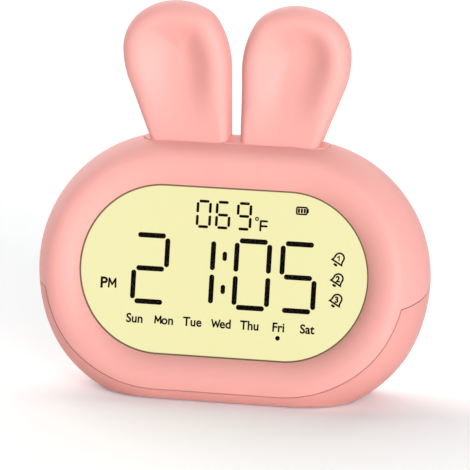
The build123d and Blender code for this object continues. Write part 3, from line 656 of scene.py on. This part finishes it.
# %% [markdown]
# ## Laying an ear
#
# The rings start on the flat back, go out and round the back edge, forward to the front edge, and in to the
# bottom of the scoop, where they all end on the middle line. The last ring needs no filling, because merging
# its points closes it. The foot is then cut to the crown's shape.

# %% Lay the ear
quarter_turn = [pi / 2 * i / edge_steps for i in range(edge_steps + 1)]
rings = []
for share in (1.0, 0.55, 0.0):  # the flat back, out to its rounded edge
    rings.append(ear_ring(lambda z: back_edge + 2 * share, lambda z: ear_back))
for a in quarter_turn[1:]:
    rings.append(ear_ring(lambda z: back_edge * (1 - sin(a)), lambda z: ear_back - back_edge * (1 - cos(a))))
for a in quarter_turn:
    rings.append(
        ear_ring(lambda z: (1 - cos(a)) * front_edge(z), lambda z: ear_face + (1 - sin(a)) * front_edge(z))
    )
for i in range(1, scoop_rows + 1):
    ring = []
    for p, o in outline:
        x, z = p[0] - front_edge(p[1]) * cos(o), p[1] - front_edge(p[1]) * sin(o)
        goal = ear_middle(x, z)
        x, z = x + (goal[0] - x) * i / scoop_rows, z + (goal[1] - z) * i / scoop_rows
        steep = 2.0 + 1.0 * eased(cos(o), 0.0, 0.7)  # the outer wall of the scoop is the steeper one
        hollow = scoop_depth * eased(z, 43, 77) * (1 - (1 - i / scoop_rows) ** steep) ** 2
        ring.append(ear_place(x, ear_face + hollow, z))
    rings.append(ring)
ear = tidy_normals(lay_rings("ear", rings, close=False), 2e-5)
cut(ear, body_form("ear_seat", -0.1))
print("ear:", triangles(ear), "triangles")

# %% [markdown]
# ## Front mouldings and back covers
#
# An ear is moulded in two halves that snap together near the back, which leaves a hairline round its side. A
# dark line painted there would not catch the light as a gap does. So the ear is cut twice with a plane, with
# 0.1 mm between the cuts, and the left ear is the right one mirrored.

# %% Part the ears
front_end, cover_start = 5.58, 5.68  # mm from front to back


def ear_half(source, name, y, keep_front):
    """What lies in front of or behind an upright plane, closed where the plane cuts."""
    half = copied(source, name)
    work_on(half)
    bpy.ops.object.mode_set(mode="EDIT")
    bpy.ops.mesh.select_all(action="SELECT")
    side = -1 if keep_front else 1
    bpy.ops.mesh.bisect(plane_co=(0, y * mm, 0), plane_no=(0, side, 0), use_fill=True, clear_inner=True)
    bpy.ops.object.mode_set(mode="OBJECT")
    return tidy_normals(half)


ear_pieces = {
    "right_ear": ear_half(ear, "right_ear_front", front_end, True),
    "right_ear_back": ear_half(ear, "right_ear_cover", cover_start, False),
}
for node in ("right_ear", "right_ear_back"):
    right = ear_pieces[node]
    mirrored = copied(right, right.name.replace("right", "left"), Matrix.Scale(-1, 4, (1, 0, 0)))
    ear_pieces[node.replace("right", "left")] = tidy_normals(mirrored)
bpy.data.objects.remove(ear)
for piece in ear_pieces.values():
    smooth(piece, 30)
print("ears:", sorted(piece.name for piece in ear_pieces.values()))

# %% [markdown]
# ## Shader maths
#
# A material is a network of nodes. Made one by one, even a small sum takes many lines. So one small class
# holds an output socket and lets maths on it be written as plain Python, and its one other method adds a node
# of any kind.


# %% The Wire class
class Wire:
    """An output socket in a material. Operators on it add Math nodes."""

    def __init__(self, socket):
        self.socket = socket
        self.tree = socket.id_data

    def node(self, kind, settings=None, sockets=None, output=0):
        """Adds a node: its settings are set first, and then its sockets, by values or by links."""
        made = self.tree.nodes.new(kind)
        for name, value in (settings or {}).items():
            setattr(made, name, value)
        for name, value in (sockets or {}).items():
            if isinstance(value, Wire):
                self.tree.links.new(value.socket, made.inputs[name])
            else:
                made.inputs[name].default_value = value
        return Wire(made.outputs[output])

    def maths(self, operation, first, second=0.0):
        """A Math node of two numbers, or of one where it needs no more."""
        return self.node("ShaderNodeMath", {"operation": operation}, {0: first, 1: second})

    def __add__(self, other):
        return self.maths("ADD", self, other)

    def __sub__(self, other):
        return self.maths("SUBTRACT", self, other)

    def __rsub__(self, other):
        return self.maths("SUBTRACT", other, self)

    def __mul__(self, other):
        return self.maths("MULTIPLY", self, other)

    __radd__, __rmul__ = __add__, __mul__


# %% [markdown]
# ## What every finish is made of
#
# No moulded, printed or plated surface is the same all over. Each finish here wanders between two near
# colours by a noise, which reads the object's own coordinates, so it stays on the piece as the piece moves.
# Colours are written as plain 0 to 255 values, because those are easy to compare.


# %% Finishing helpers
def finish(name, **uniform):
    """A new material with these plain values on its shader. Returns it, the shader and Object coordinates."""
    material = bpy.data.materials.new(name)
    material.use_nodes = True
    shader = material.node_tree.nodes["Principled BSDF"]
    for socket, value in uniform.items():
        shader.inputs[socket.replace("_", " ")].default_value = value
    return material, shader, Wire(shader.outputs[0]).node("ShaderNodeTexCoord", output="Object")


def feed(shader, **links):
    """Links wires to the shader's sockets."""
    for socket, wire in links.items():
        wire.tree.links.new(wire.socket, shader.inputs[socket.replace("_", " ")])


def noise(at, scale, detail=2.0):
    """A cloudy pattern between 0 and 1."""
    return at.node("ShaderNodeTexNoise", None, {"Vector": at, "Scale": scale, "Detail": detail})


def between(factor, first, second):
    """A colour between two others."""
    return factor.node("ShaderNodeMix", {"data_type": "RGBA"}, {"Factor": factor, "A": first, "B": second}, 2)


def linear(red, green, blue):
    """A shader's colour from 0 to 255 values as a screen shows them."""
    def one(value):
        """One of the three values, as a share of full light."""
        value /= 255
        return value / 12.92 if value <= 0.04045 else ((value + 0.055) / 1.055) ** 2.4

    return (one(red), one(green), one(blue), 1.0)


# %% [markdown]
# ## The pink shell finish
#
# The case is moulded ABS with a fine satin texture, as spark-eroded tools leave it. A painted grain would
# need unwrapping and would repeat. So the grain is a very small noise bump, and a second, slower noise shifts
# the colour and the gloss by a hair, so that large plain surfaces don't look computed. The tub's pink is a
# shade deeper, as painted shade: it darkens the tub as if its surface turned further from the light.


# %% Moulded plastic
def moulded(name, colour, roughness, grain=900.0, depth=0.012, drift=0.03, **uniform):
    """Satin moulded plastic in one colour."""
    material, shader, at = finish(name, **uniform)
    slow, fine = noise(at, 38.0, 3.0), noise(at, grain, 4.0)
    pale = tuple(min(1.0, c * (1 + drift)) for c in colour[:3]) + (1.0,)
    deep = tuple(c * (1 - drift) for c in colour[:3]) + (1.0,)
    bump = at.node("ShaderNodeBump", None, {"Height": fine, "Strength": 0.35, "Distance": depth * mm})
    gloss = slow * 0.08 + (fine * 0.06 + (roughness - 0.07))
    feed(shader, Base_Color=between(slow, deep, pale), Roughness=gloss, Normal=bump)
    return material


# The second, deeper pink is painted shade for the tub, not a colour of its own.
pink, pink_with_painted_shade = linear(228, 163.5, 157.5), linear(219, 155.5, 149)
shell_pink = moulded("shell_pink", pink, 0.52, Specular_IOR_Level=0.25)
ear_pink = moulded("ear_pink", pink, 0.5, Specular_IOR_Level=0.25)
# The tub's finish carries painted shade in its deeper pink.
tub_pink_shaded = moulded("tub_pink_shaded", pink_with_painted_shade, 0.52, Specular_IOR_Level=0.25)
print("finishes:", shell_pink.name, ear_pink.name, tub_pink_shaded.name)

# %% [markdown]
# ## Dress the main forms
#
# A new form could be parented by hand to the solid that it covers. Here each piece rides on the CAD body that
# carries it and hides the CAD solid that it stands for.


# %% Dress pieces
def dress(piece, material, body, slot, *replaced):
    """Gives a piece its material, its body and the CAD nodes it stands for; its slot is not used."""
    piece.data.materials.clear()
    piece.data.materials.append(material)
    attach(piece, body)
    if replaced:
        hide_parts(*replaced)
    return piece


dress(front_shell, shell_pink, "case", "case", "front_shell")
dress(rear_shell, tub_pink_shaded, "case", "case", "rear_shell")
dress(smooth(key_plate, 28), ear_pink, "ears", "case", "ear_key")
for node, piece in ear_pieces.items():
    dress(piece, ear_pink, "ears", "case", node)
print("dressed:", 3 + len(ear_pieces), "pieces")

# %% [markdown]
# ## Ink on the display
#
# The lit face is the front glass of the LCD, which already is in the CAD as a flat plate, so it only needs
# its glow. Its dark signs could be a pattern in that glow, but only a shape keeps a crisp edge at any size.
# So they are thin layers on the glass, and every bar of the digits is one slot shape, modelled once and
# copied. Places are in millimetres from the display's middle.

# %% Ink on the glass
glass_depth = 2.6
ink_height = 0.03 * mm
sight_shift = -0.6  # the eye looks past the lens at a slant


def on_glass(x, v, angle=0.0):
    """Place on the glass, turned by an angle in degrees."""
    return on_face(x + sight_shift, v, glass_depth) @ Matrix.Rotation(radians(angle), 4, "Z")


def ink_bar(length, width):
    """A flat bar with round ends, lying along x."""
    return slot_block("bar", (length - width) / 2 * mm, width / 2 * mm, 0, ink_height, steps=8)


def bars(name, model, places):
    """Copies of one bar at places given as (x, v, angle), joined. The model is used up."""
    pieces = [copied(model, name, on_glass(*place)) for place in places]
    bpy.data.objects.remove(model)
    return joined(name, pieces)


print("middle of the glass in mm:", [round(1000 * v, 2) for v in on_glass(0, 0).translation])

# %% [markdown]
# ## Seven-segment digits
#
# Such a digit is a figure of eight of seven bars, of which some are lit. Text in a suitable font would need
# a file from elsewhere, so the bars are set one by one, from a letter for each bar.

# %% Digits and colon
segments = {"0": "abcdef", "1": "bc", "2": "abged", "5": "afgcd", "6": "afgedc", "9": "abcdfg"}


def digit_places(digit, x, v_middle, half_width, half_height):
    """Places of a digit's bars: a is the top one, and they go round clockwise to f, with g in the middle."""
    spots = {
        "a": (0, 2 * half_height, 0),
        "b": (half_width, half_height, 90),
        "c": (half_width, -half_height, 90),
        "d": (0, -2 * half_height, 0),
        "e": (-half_width, -half_height, 90),
        "f": (-half_width, half_height, 90),
        "g": (0, 0, 0),
    }
    return [(x + dx, v_middle + dv, angle) for dx, dv, angle in (spots[s] for s in segments[digit])]


def row_places(row, v_middle, half_width, half_height):
    """Places of the bars of several digits, each given with its x."""
    return [place for digit, x in row for place in digit_places(digit, x, v_middle, half_width, half_height)]


time_row = (("2", -27.1), ("1", -10.35), ("0", 10.0), ("5", 26.7))
time_places = row_places(time_row, -0.02, 5.9, 5.85)
time_digits = bars("time_digits", ink_bar(10.2, 1.85), time_places)
colon = bars("time_colon", ink_bar(3.3, 1.65), [(-0.2, 5.88, 90), (-0.2, -5.78, 90)])
temperature_places = row_places((("0", -8.7), ("6", -1.7), ("9", 6.0)), 20.3, 2.27, 2.24)
temperature_digits = bars("temperature_digits", ink_bar(3.65, 1.02), temperature_places)
print("bars:", len(time_places), "large,", len(temperature_places), "small")

# %% [markdown]
# ## Outlined signs
#
# The bells and the battery are outlines. A bevelled curve has round strokes, which stand up too far, so a
# flat band is made. A filled circle's vertices are moved onto the sign's outline, the face is inset by the
# stroke's width, the middle is deleted, and the band that stays is extruded.


# %% Outline strokes
def outlined(name, points, stroke, place):
    """A closed line of even width along points in millimetres."""
    nothing_selected()
    bpy.ops.mesh.primitive_circle_add(vertices=len(points), radius=mm, fill_type="NGON")
    sign = bpy.context.object
    sign.name = sign.data.name = name
    for vertex, (x, y) in zip(sign.data.vertices, points):
        vertex.co = (x * mm, y * mm, 0)
    bpy.ops.object.mode_set(mode="EDIT")
    bpy.ops.mesh.select_mode(type="FACE")
    bpy.ops.mesh.select_all(action="SELECT")
    bpy.ops.mesh.inset(thickness=stroke * mm)
    bpy.ops.mesh.delete(type="FACE")
    bpy.ops.mesh.select_all(action="SELECT")
    bpy.ops.mesh.extrude_region_move(TRANSFORM_OT_translate={"value": (0, 0, ink_height)})
    bpy.ops.object.mode_set(mode="OBJECT")
    return settle(tidy_normals(sign), place)


def rounded_box(width, height, corner):
    """Points of a rounded rectangle, counter-clockwise."""
    points = []
    for turn_number, (sx, sy) in enumerate(((1, -1), (1, 1), (-1, 1), (-1, -1))):
        centre = (sx * (width / 2 - corner), sy * (height / 2 - corner))
        start = (turn_number - 1) * pi / 2
        points += [(centre[0] + corner * cos(start), centre[1] + corner * sin(start))]
        points += arc(centre, corner, start, start + pi / 2, 4)
    return points


# %% [markdown]
# ## Bells and battery
#
# Three alarm bells stand at the right, tilted as if they rang, each with a short bar as its clapper. The
# battery sign is a rounded box with three bars of charge and a nub at its end. A subdivided outline would
# round all corners alike, so the round parts are arcs and the corners of the bell's foot stay sharp.

# %% Bells and battery
bell_x, bell_heights, bell_tilt = 41.0, (7.6, 0.36, -6.82), -29
bell_outline = [(-2.5, 0.0), (2.5, 0.0), (2.1, 0.8), (1.96, 1.35)]
bell_outline += arc((0, 2.15), 1.96, 0, pi, 14)
bell_outline += [(-1.96, 1.35), (-2.1, 0.8)]
signs = []
for number, v in enumerate(bell_heights, 1):
    place = on_glass(bell_x, v, bell_tilt) @ Matrix.Translation((0.1 * mm, -1.85 * mm, 0))
    signs.append(outlined(f"bell_{number}", bell_outline, 0.62, place))
    clapper = slot_block("clapper", 0.32 * mm, 0.42 * mm, 0, ink_height, steps=8)
    signs.append(settle(clapper, place @ Matrix.Translation((0, -0.68 * mm, 0))))
alarm_bells = joined("alarm_bells", signs)
battery_x, battery_v = 26.7, 23.45
battery_sign = joined("battery_sign", [
    outlined("battery_box", rounded_box(4.3, 3.0, 0.75), 0.57, on_glass(battery_x, battery_v)),
    bars("battery_nub", ink_bar(1.5, 0.6), [(28.95, battery_v, 90)]),
    bars("battery_bars", ink_bar(1.7, 0.78), [(battery_x + 1.05 * i, battery_v, 90) for i in (-1, 0, 1)]),
])
print("signs:", triangles(alarm_bells), "and", triangles(battery_sign), "triangles")

# %% [markdown]
# ## Letters
#
# The words are text objects turned into meshes, which is quicker and truer than drawing each letter. Their
# size is set by the height of a capital, which is measured on an H first.


# %% Words
def text_mesh(text, offset=0.0):
    """A flat text as a mesh, centred across the origin, in Blender's own font. The offset makes it bolder."""
    nothing_selected()
    bpy.ops.object.text_add()
    letters = bpy.context.object
    letters.data.body = text
    letters.data.align_x = "CENTER"
    letters.data.offset = offset
    letters.data.resolution_u = 4
    bpy.ops.object.convert(target="MESH")
    return bpy.context.object


sample = text_mesh("H")
capital = sample.dimensions.y
bpy.data.objects.remove(sample)
print("capital height of the font:", round(capital, 3))


def words(name, text, height, narrow, place, thickness=ink_height, offset=0.0):
    """A word with capitals of a height in millimetres, its capitals' middle at the place."""
    letters = text_mesh(text, offset)
    letters.name = letters.data.name = name
    scale = height * mm / capital
    letters.data.transform(Matrix.Diagonal((scale * narrow, scale, 1, 1)))
    letters.data.transform(Matrix.Translation((0, -height * mm / 2, 0)))
    work_on(letters)
    bpy.ops.object.mode_set(mode="EDIT")
    bpy.ops.mesh.select_all(action="SELECT")
    bpy.ops.mesh.remove_doubles(threshold=1e-7)
    bpy.ops.mesh.extrude_region_move(TRANSFORM_OT_translate={"value": (0, 0, thickness)})
    bpy.ops.object.mode_set(mode="OBJECT")
    return settle(tidy_normals(letters, 1e-7), place)


# %% [markdown]
# ## Letters of straight strokes
#
# The M and the W of such a display are narrow, with slanting strokes of even width, and the built-in font has
# no such letters. They are put together from the bars of the digits, one bar for each stroke.


# %% Stroke letters
def zigzag(name, corners, width, place):
    """A line of even width with round ends along corners in millimetres, as for an M or a W."""
    pieces = []
    for (x0, y0), (x1, y1) in zip(corners, corners[1:]):
        bar = ink_bar(hypot(x1 - x0, y1 - y0) + width, width)
        middle = Matrix.Translation(((x0 + x1) / 2 * mm, (y0 + y1) / 2 * mm, 0))
        pieces.append(settle(bar, place @ middle @ Matrix.Rotation(atan2(y1 - y0, x1 - x0), 4, "Z")))
    return joined(name, pieces)


# %% [markdown]
# ## Day names
#
# The seven days stand in a row under the time, with a dot under the day it is. One line of text would not
# keep them in even columns, so each name is set by itself, and then nudged so that its letters look centred.

# %% Day names and dot
day_pitch, day_row_v = 10.45, -17.82
day_words = [("Sun", -0.1), ("on", 1.5), ("Tue", 0.15), ("ed", 1.75), ("Thu", 0.1)]  # text, nudge
day_words += [("Fri", 0.05), ("Sat", 0)]
m_strokes = ((-1.05, -1.2), (-0.95, 1.2), (0, -0.55), (0.95, 1.2), (1.05, -1.2))
w_strokes = ((-1.4, 1.2), (-0.72, -1.2), (0, 0.7), (0.72, -1.2), (1.4, 1.2))
day_names = []
for i, (day, shift) in enumerate(day_words):
    x = day_pitch * (i - 3) - 0.3
    day_names.append(words("day", day, 3.05, 0.96, on_glass(x + shift, day_row_v), offset=0.026))
    if day == "on":
        day_names.append(zigzag("day_m", m_strokes, 0.6, on_glass(x - 1.95, -17.85)))
    elif day == "ed":
        day_names.append(zigzag("day_w", w_strokes, 0.58, on_glass(x - 1.75, -17.85)))
day_names.append(bars("day_dot", ink_bar(1.72, 1.7), [(20.6, -21.65, 0)]))
day_row = joined("day_names", day_names)
print("letters:", triangles(day_row), "triangles in the day names")

# %% [markdown]
# ## Small signs
#
# PM stands beside the time, a number in each bell, and a degree ring with an F after the temperature. The F
# and the 1 are put together from the same bars as the digits, so that their strokes match.

# %% Afternoon, bell numbers and unit
afternoon_v, unit_bar = -5.9, 0.76
m_strokes = ((-1.25, -1.5), (-1.15, 1.5), (0, -0.6), (1.15, 1.5), (1.25, -1.5))
afternoon_sign = joined("afternoon_sign", [
    words("afternoon_p", "P", 3.7, 1.0, on_glass(-43.8, afternoon_v), offset=0.03),
    zigzag("afternoon_m", m_strokes, 0.66, on_glass(-40.65, afternoon_v)),
])
one_strokes = ((-0.5, 0.35), (0.1, 0.78), (0.1, -0.78))
numbers = [zigzag("bell_one", one_strokes, 0.42, on_glass(bell_x, bell_heights[0]))]
for number, v in zip("23", bell_heights[1:]):
    numbers.append(words("bell_number", number, 2.0, 1.0, on_glass(bell_x + 0.05, v), offset=0.05))
bell_numbers = joined("bell_numbers", numbers)
degree_ring = [(0.74 * cos(a), 0.74 * sin(a)) for a in [2 * pi * i / 20 for i in range(20)]]
temperature_unit = joined("temperature_unit", [
    outlined("degree", degree_ring, 0.42, on_glass(10.7, 19.7)),
    bars("unit_bars", ink_bar(2.9, unit_bar), [(13.3, 19.0, 0), (13.2, 17.25, 0)]),
    bars("unit_stem", ink_bar(3.95, unit_bar), [(12.1, 17.35, 90)]),
])
print("small signs:", [triangles(sign) for sign in (afternoon_sign, bell_numbers, temperature_unit)])

# %% [markdown]
# ## Finishes of the display
#
# The ink is a flat near-black. The lit glass glows pale yellow, and because its lamps sit at its two ends, it
# is a hair brighter there. A lamp behind real glass would make noise in a render, so the glass itself emits.
# The lens is clear acrylic with an anti-glare face, so it is mostly see-through. The tape is dark and matt,
# and its brown is also painted shade where it shows as the dark line round the display.

# %% Ink, lit glass, lens and tape
lamp_distance = 0.053  # of the lamps at the glass's ends from its middle, in metres

ink, shader, at = finish("display_ink", Roughness=0.6, Specular_IOR_Level=0.02)
feed(shader, Base_Color=between(noise(at, 300.0), linear(3, 1, 1), linear(8, 5, 4)))

unlit = (0.02, 0.02, 0.01, 1)
lit_glass, shader, at = finish(
    "lit_glass", Base_Color=unlit, Roughness=0.35, Specular_IOR_Level=0.2, Emission_Strength=1.0
)
across = at.node("ShaderNodeSeparateXYZ", None, {"Vector": at}, "X")
ends = across.maths("ABSOLUTE", across) * (1 / lamp_distance)
level = ends * ends * 0.7 + noise(at, 60.0) * 0.3
feed(shader, Emission_Color=between(level, linear(252, 246, 184), linear(254, 249, 192)))

smoke = linear(40, 38, 30)
lens_clear, shader, at = finish("lens_clear", Base_Color=smoke, Specular_IOR_Level=0.3, Alpha=0.05)
feed(shader, Roughness=noise(at, 900.0) * 0.06 + 0.1)

# The tape's brown is painted shade where the ring shows as the dark line round the display.
tape_and_painted_shade, shader, at = finish("tape_and_painted_shade", Roughness=0.8)
feed(shader, Base_Color=between(noise(at, 2500.0), linear(92, 76, 60), linear(112, 96, 78)))
print("display finishes:", [each.name for each in (ink, lit_glass, lens_clear, tape_and_painted_shade)])

# %% [markdown]
# ## The lens tape
#
# The lens is stuck in with a thin dark ring of tape. Here the ring reaches a little way in from the edge of
# the opening, where it shows as the fine dark line round the display: that line is painted shade, a dark band
# put where the opening's edge casts its shadow. The tape in the CAD lies further out, under the edge, so the
# visible ring is cut anew from two slot blocks.

# %% Tape ring
# The inner radius reaches into the opening, so the dark ring paints the shadow of the opening's edge.
tape_outer, shade_line_inner = 31.9 * mm, 29.45 * mm  # radii
tape = slot_block("lens_tape_and_shade_line", half_straight, tape_outer, -0.64 * mm, -0.5 * mm, face_matrix, 64)
cut(tape, slot_block("tape_hole", body_half, shade_line_inner, -mm, 0, opening_place, 64))
dress(smooth(tidy_normals(tape), 30), tape_and_painted_shade, "case", "black_tape", "lens_adhesive")
for piece in (time_digits, colon, temperature_digits, alarm_bells, battery_sign, day_row, afternoon_sign,
              bell_numbers, temperature_unit):
    dress(piece, ink, "case", "lcd_glass")
print("tape:", triangles(tape), "triangles")

# %% [markdown]
# ## The buttons
#
# Each rear button is one turned-up form: a round stem that meets its switch, a wide flange that keeps it in
# the case, and a cap with a rounded rim and a shallow dish for the finger. Bevels would round the rim but not
# make the dish, so the first button is laid ring by ring, and the others are copies.

# %% Buttons
button_jobs = ("mode", "alarm", "up", "down", "light")
dish, rim = 2.2, 0.8  # radius of the dish and of the rounded rim, in mm
button_rings = [(0, 1.5, 30.4), (0, 1.5, 32.5)]  # half of the straight, radius, depth: the stem
button_rings += [(1.5, 3.9, 32.5), (1.5, 3.9, 33.7), (1.5, 3.0, 33.7)]  # the flange
button_rings += [
    (1.5, 3.0 - rim * (1 - cos(a)), 36.1 + rim * sin(a)) for a in [pi / 12 * i for i in range(7)]
]
button_rings += [
    (1.5 * r / dish, r, 36.9 - 0.25 * sqrt(max(1 - (r / dish) ** 2, 0))) for r in (2.0, 1.6, 1.0, 0.4)
]
button_rings = [stadium_ring(r * mm, -depth * mm, half * mm, steps=16) for half, r, depth in button_rings]
model = tidy_normals(lay_rings("button", button_rings))
button_pink = moulded("button_pink", linear(226, 152, 145), 0.45)
for i, job in enumerate(button_jobs):
    button = copied(model, f"{job}_cap", on_face(button_pitch * (i - 2), button_row))
    dress(smooth(button, 32), button_pink, job, "button", f"{job}_button")
print("each of", len(button_jobs), "buttons:", triangles(model), "triangles")
bpy.data.objects.remove(model)

# %% [markdown]
# ## Words on the back
#
# Under each button its job stands in low raised letters. A print alone would be flat, and letters in the same
# pink would only show in a slanting light, so they are raised by 0.25 mm and carry a darker rose print.

# %% Moulded words
word_row, word_depth, word_rise = 6.2, 35.95, 0.25 * mm
word_rose = moulded("word_rose", linear(150, 82, 78), 0.5)
facing_back = Matrix.Rotation(pi, 4, "Y")
moulded_words = []
for i, job in enumerate(button_jobs):
    place = on_face(button_pitch * (i - 2), word_row, word_depth) @ facing_back
    moulded_words.append(words("word", job.upper(), 2.0, 0.95, place, word_rise))
button_words = dress(joined("button_words", moulded_words), word_rose, "case", "case")
print("button words:", triangles(button_words), "triangles")

# %% [markdown]
# ## Finishes of the parts inside
#
# The parts that stay as CAD solids each get a finish by what they are made of: circuit boards with a faint
# mottle, plated steel with fine brushing, rubber, films and insulated wires. Each could have nodes of its
# own, but they differ only in colour, grain, gloss and metal, so one function makes them all.


# %% Plain finishes
def two_tone(name, first, second, scale, roughness, bump=0.0, stretch=(1, 1, 1), **uniform):
    """A finish that wanders between two near colours of 0 to 255, with a grain that may be stretched."""
    material, shader, at = finish(name, **uniform)
    spread = at.node("ShaderNodeMapping", None, {"Vector": at, "Scale": stretch})
    grain = noise(spread, scale, 3.0)
    tone = between(grain, linear(*first), linear(*second))
    feed(shader, Base_Color=tone, Roughness=grain * 0.15 + (roughness - 0.07))
    if bump:
        feed(shader, Normal=at.node("ShaderNodeBump", None, {"Height": grain, "Distance": bump * mm}))
    return material


# %% [markdown]
# ## A finish for each slot
#
# Every node's record names the slot that its material fills, so a table from slot to finish dresses all the
# nodes in one loop, also the ones that a form above already hides.

# %% Table of finishes
guide_glow = {"Emission_Color": linear(247, 240, 180), "Emission_Strength": 0.3}
lamp_glow = {"Emission_Color": linear(255, 240, 170), "Emission_Strength": 0.8}
brushed = {"stretch": (1, 1, 8), "Metallic": 1.0}
ribbed = {"stretch": (6, 1, 1)}
finishes = {
    "white_film": two_tone("film_white", (238, 238, 234), (246, 246, 242), 90, 0.4),
    "light_guide": two_tone("guide_clear", (244, 238, 205), (250, 246, 220), 60, 0.15, **guide_glow),
    "white_plastic": two_tone("plastic_white", (232, 232, 228), (240, 240, 236), 400, 0.5, 0.01),
    "strip_rubber": two_tone("rubber_striped", (60, 60, 62), (120, 120, 122), 400, 0.7, **ribbed),
    "lamp": two_tone("lamp_warm", (250, 240, 190), (252, 246, 210), 300, 0.3, **lamp_glow),
    "circuit_board": two_tone("board_green", (16, 74, 40), (30, 96, 56), 700, 0.35, 0.01),
    "black_plastic": two_tone("plastic_black", (20, 20, 22), (34, 34, 36), 600, 0.5, 0.01),
    "bright_steel": two_tone("steel_bright", (190, 190, 194), (214, 214, 218), 500, 0.28, **brushed),
    "spring_steel": two_tone("steel_spring", (160, 160, 164), (190, 190, 194), 900, 0.25, Metallic=1.0),
    "screw_steel": two_tone("steel_black", (70, 70, 74), (96, 96, 100), 700, 0.35, 0.005, Metallic=1.0),
    "battery_wrap": two_tone("wrap_blue", (42, 82, 150), (56, 98, 170), 120, 0.3),
    "foam_tape": two_tone("foam_black", (26, 26, 28), (50, 50, 52), 1500, 0.9, 0.05),
    "cone_paper": two_tone("paper_dark", (30, 28, 28), (56, 52, 50), 1200, 0.85, 0.03),
    "red_wire": two_tone("wire_red", (170, 26, 22), (196, 36, 30), 300, 0.4),
    "black_wire": two_tone("wire_black", (16, 16, 16), (30, 30, 30), 300, 0.4),
    "white_wire": two_tone("wire_white", (226, 226, 220), (238, 238, 234), 300, 0.4),
    "foot_rubber": two_tone("rubber_grey", (112, 108, 108), (130, 126, 125), 800, 0.85, 0.01),
    "clear_lens": lens_clear,
    "lcd_glass": lit_glass,
    "case": shell_pink,
    "button": button_pink,
    "black_tape": tape_and_painted_shade,
}
slot_of = {part["node"]: part["material_slot"] for part in frame["record"]["subparts"]}
for name, node in nodes.items():
    node.data.materials.clear()
    node.data.materials.append(finishes[slot_of[name]])
print("finished nodes:", len(nodes))

# %% [markdown]
# ## Springs under the ears
#
# Two coils stand on the bracket and push the key plate up. A copy of the CAD coils stands in for them, with
# its doubled points merged, smooth shading and its place baked in.

# %% Coil springs
coils = bpy.data.objects.new("ear_coils", nodes["ear_springs"].data.copy())
bpy.context.scene.collection.objects.link(coils)
tidy_normals(coils)
smooth(coils, 60)
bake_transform(coils)
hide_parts("ear_springs")
print("coils:", triangles(coils), "triangles")

# %% [markdown]
# ## Light levels
#
# The clock should look right under any light, so the lamps stay at a plain level, at which a colour renders
# about as it is written. The light that they bring to the floor is added up here, because the next cell fills
# the floor up to white with it.

# %% Light levels
fill_light = 0.12  # of the world, from all sides
studio_lights = [  # name, azimuth, elevation, spread, strength
    ("right_light", 40, 6, 30, 0.97),
    ("front_light", 20, 20, 40, 0.27),
    ("side_light", -120, 30, 60, 0.58),
    ("back_light", 180, 50, 60, 0.43),
]
light_on_floor = fill_light + sum(s * sin(radians(e)) for _, _, e, _, s in studio_lights)
print("light on the floor:", round(light_on_floor, 2))

# %% [markdown]
# ## The floor
#
# The clock stands on a plain white floor, which is to be pure white away from the clock. More lamps would
# bleach the clock itself. So what is still missing to white is an emission that only the camera, mirrors and
# glass see, and the floor keeps the clock's shadow.

# %% Floor
floor_white = (0.99, 0.9, 0.87)  # a little warm, so that the clock's pink glow doesn't tint its shadow


def seen_directly(wire):
    """1 for rays from the camera, from gloss and through glass, and 0 for rays of light on other things."""
    kinds = ("Camera", "Glossy", "Transmission")
    camera_ray, glossy_ray, glass_ray = (
        wire.node("ShaderNodeLightPath", output=f"Is {kind} Ray") for kind in kinds
    )
    return camera_ray + glossy_ray + glass_ray


nothing_selected()
bpy.ops.mesh.primitive_grid_add(x_subdivisions=8, y_subdivisions=8, size=6)
floor = bpy.context.object
floor.name = "floor"
white, shader, at = finish("floor_white", Base_Color=(*floor_white, 1), Roughness=0.9)
still_missing = [1 - part * light_on_floor for part in floor_white]
glow = at.node("ShaderNodeEmission", None, {"Color": (*still_missing, 1), "Strength": seen_directly(at)})
both = at.node("ShaderNodeAddShader", None, {0: Wire(shader.outputs[0]), 1: glow})
white.node_tree.links.new(both.socket, white.node_tree.nodes["Material Output"].inputs["Surface"])
floor.data.materials.append(white)
print("missing to white:", [round(part, 2) for part in still_missing])

# %% [markdown]
# ## World and lamps
#
# The world is white behind the clock and only a faint fill on it. Four soft lamps do the rest: a low one from
# the right that draws the ring's crest, a weak one in front, and one each from the left and from behind, so
# that the clock has form from every side. Area lamps would have to be fitted to the clock's size, so they are
# suns with wide faces.


# %% World and lamps
def lamp(name, azimuth, elevation, spread, strength):
    """A far soft box, as a sun with a wide face, from an azimuth and elevation in degrees."""
    away = direction(azimuth, elevation)
    bpy.ops.object.light_add(type="SUN", location=Vector((0, 0, 0.06)) + away * 0.5)
    box = bpy.context.object
    box.name = name
    box.rotation_mode = "QUATERNION"
    box.rotation_quaternion = away.to_track_quat("Z", "Y")
    box.data.angle, box.data.energy = radians(spread), strength * pi


world = bpy.data.worlds.new("studio")
bpy.context.scene.world = world
world.use_nodes = True
sky = world.node_tree.nodes["Background"]
sky.inputs["Color"].default_value = (1, 1, 1, 1)
seen = seen_directly(Wire(sky.outputs[0]))
unseen = 1 - seen.maths("MINIMUM", seen, 1.0)
feed(sky, Strength=1 - unseen * (1 - fill_light))
for light in studio_lights:
    lamp(*light)
bpy.context.scene.view_settings.view_transform = "Standard"
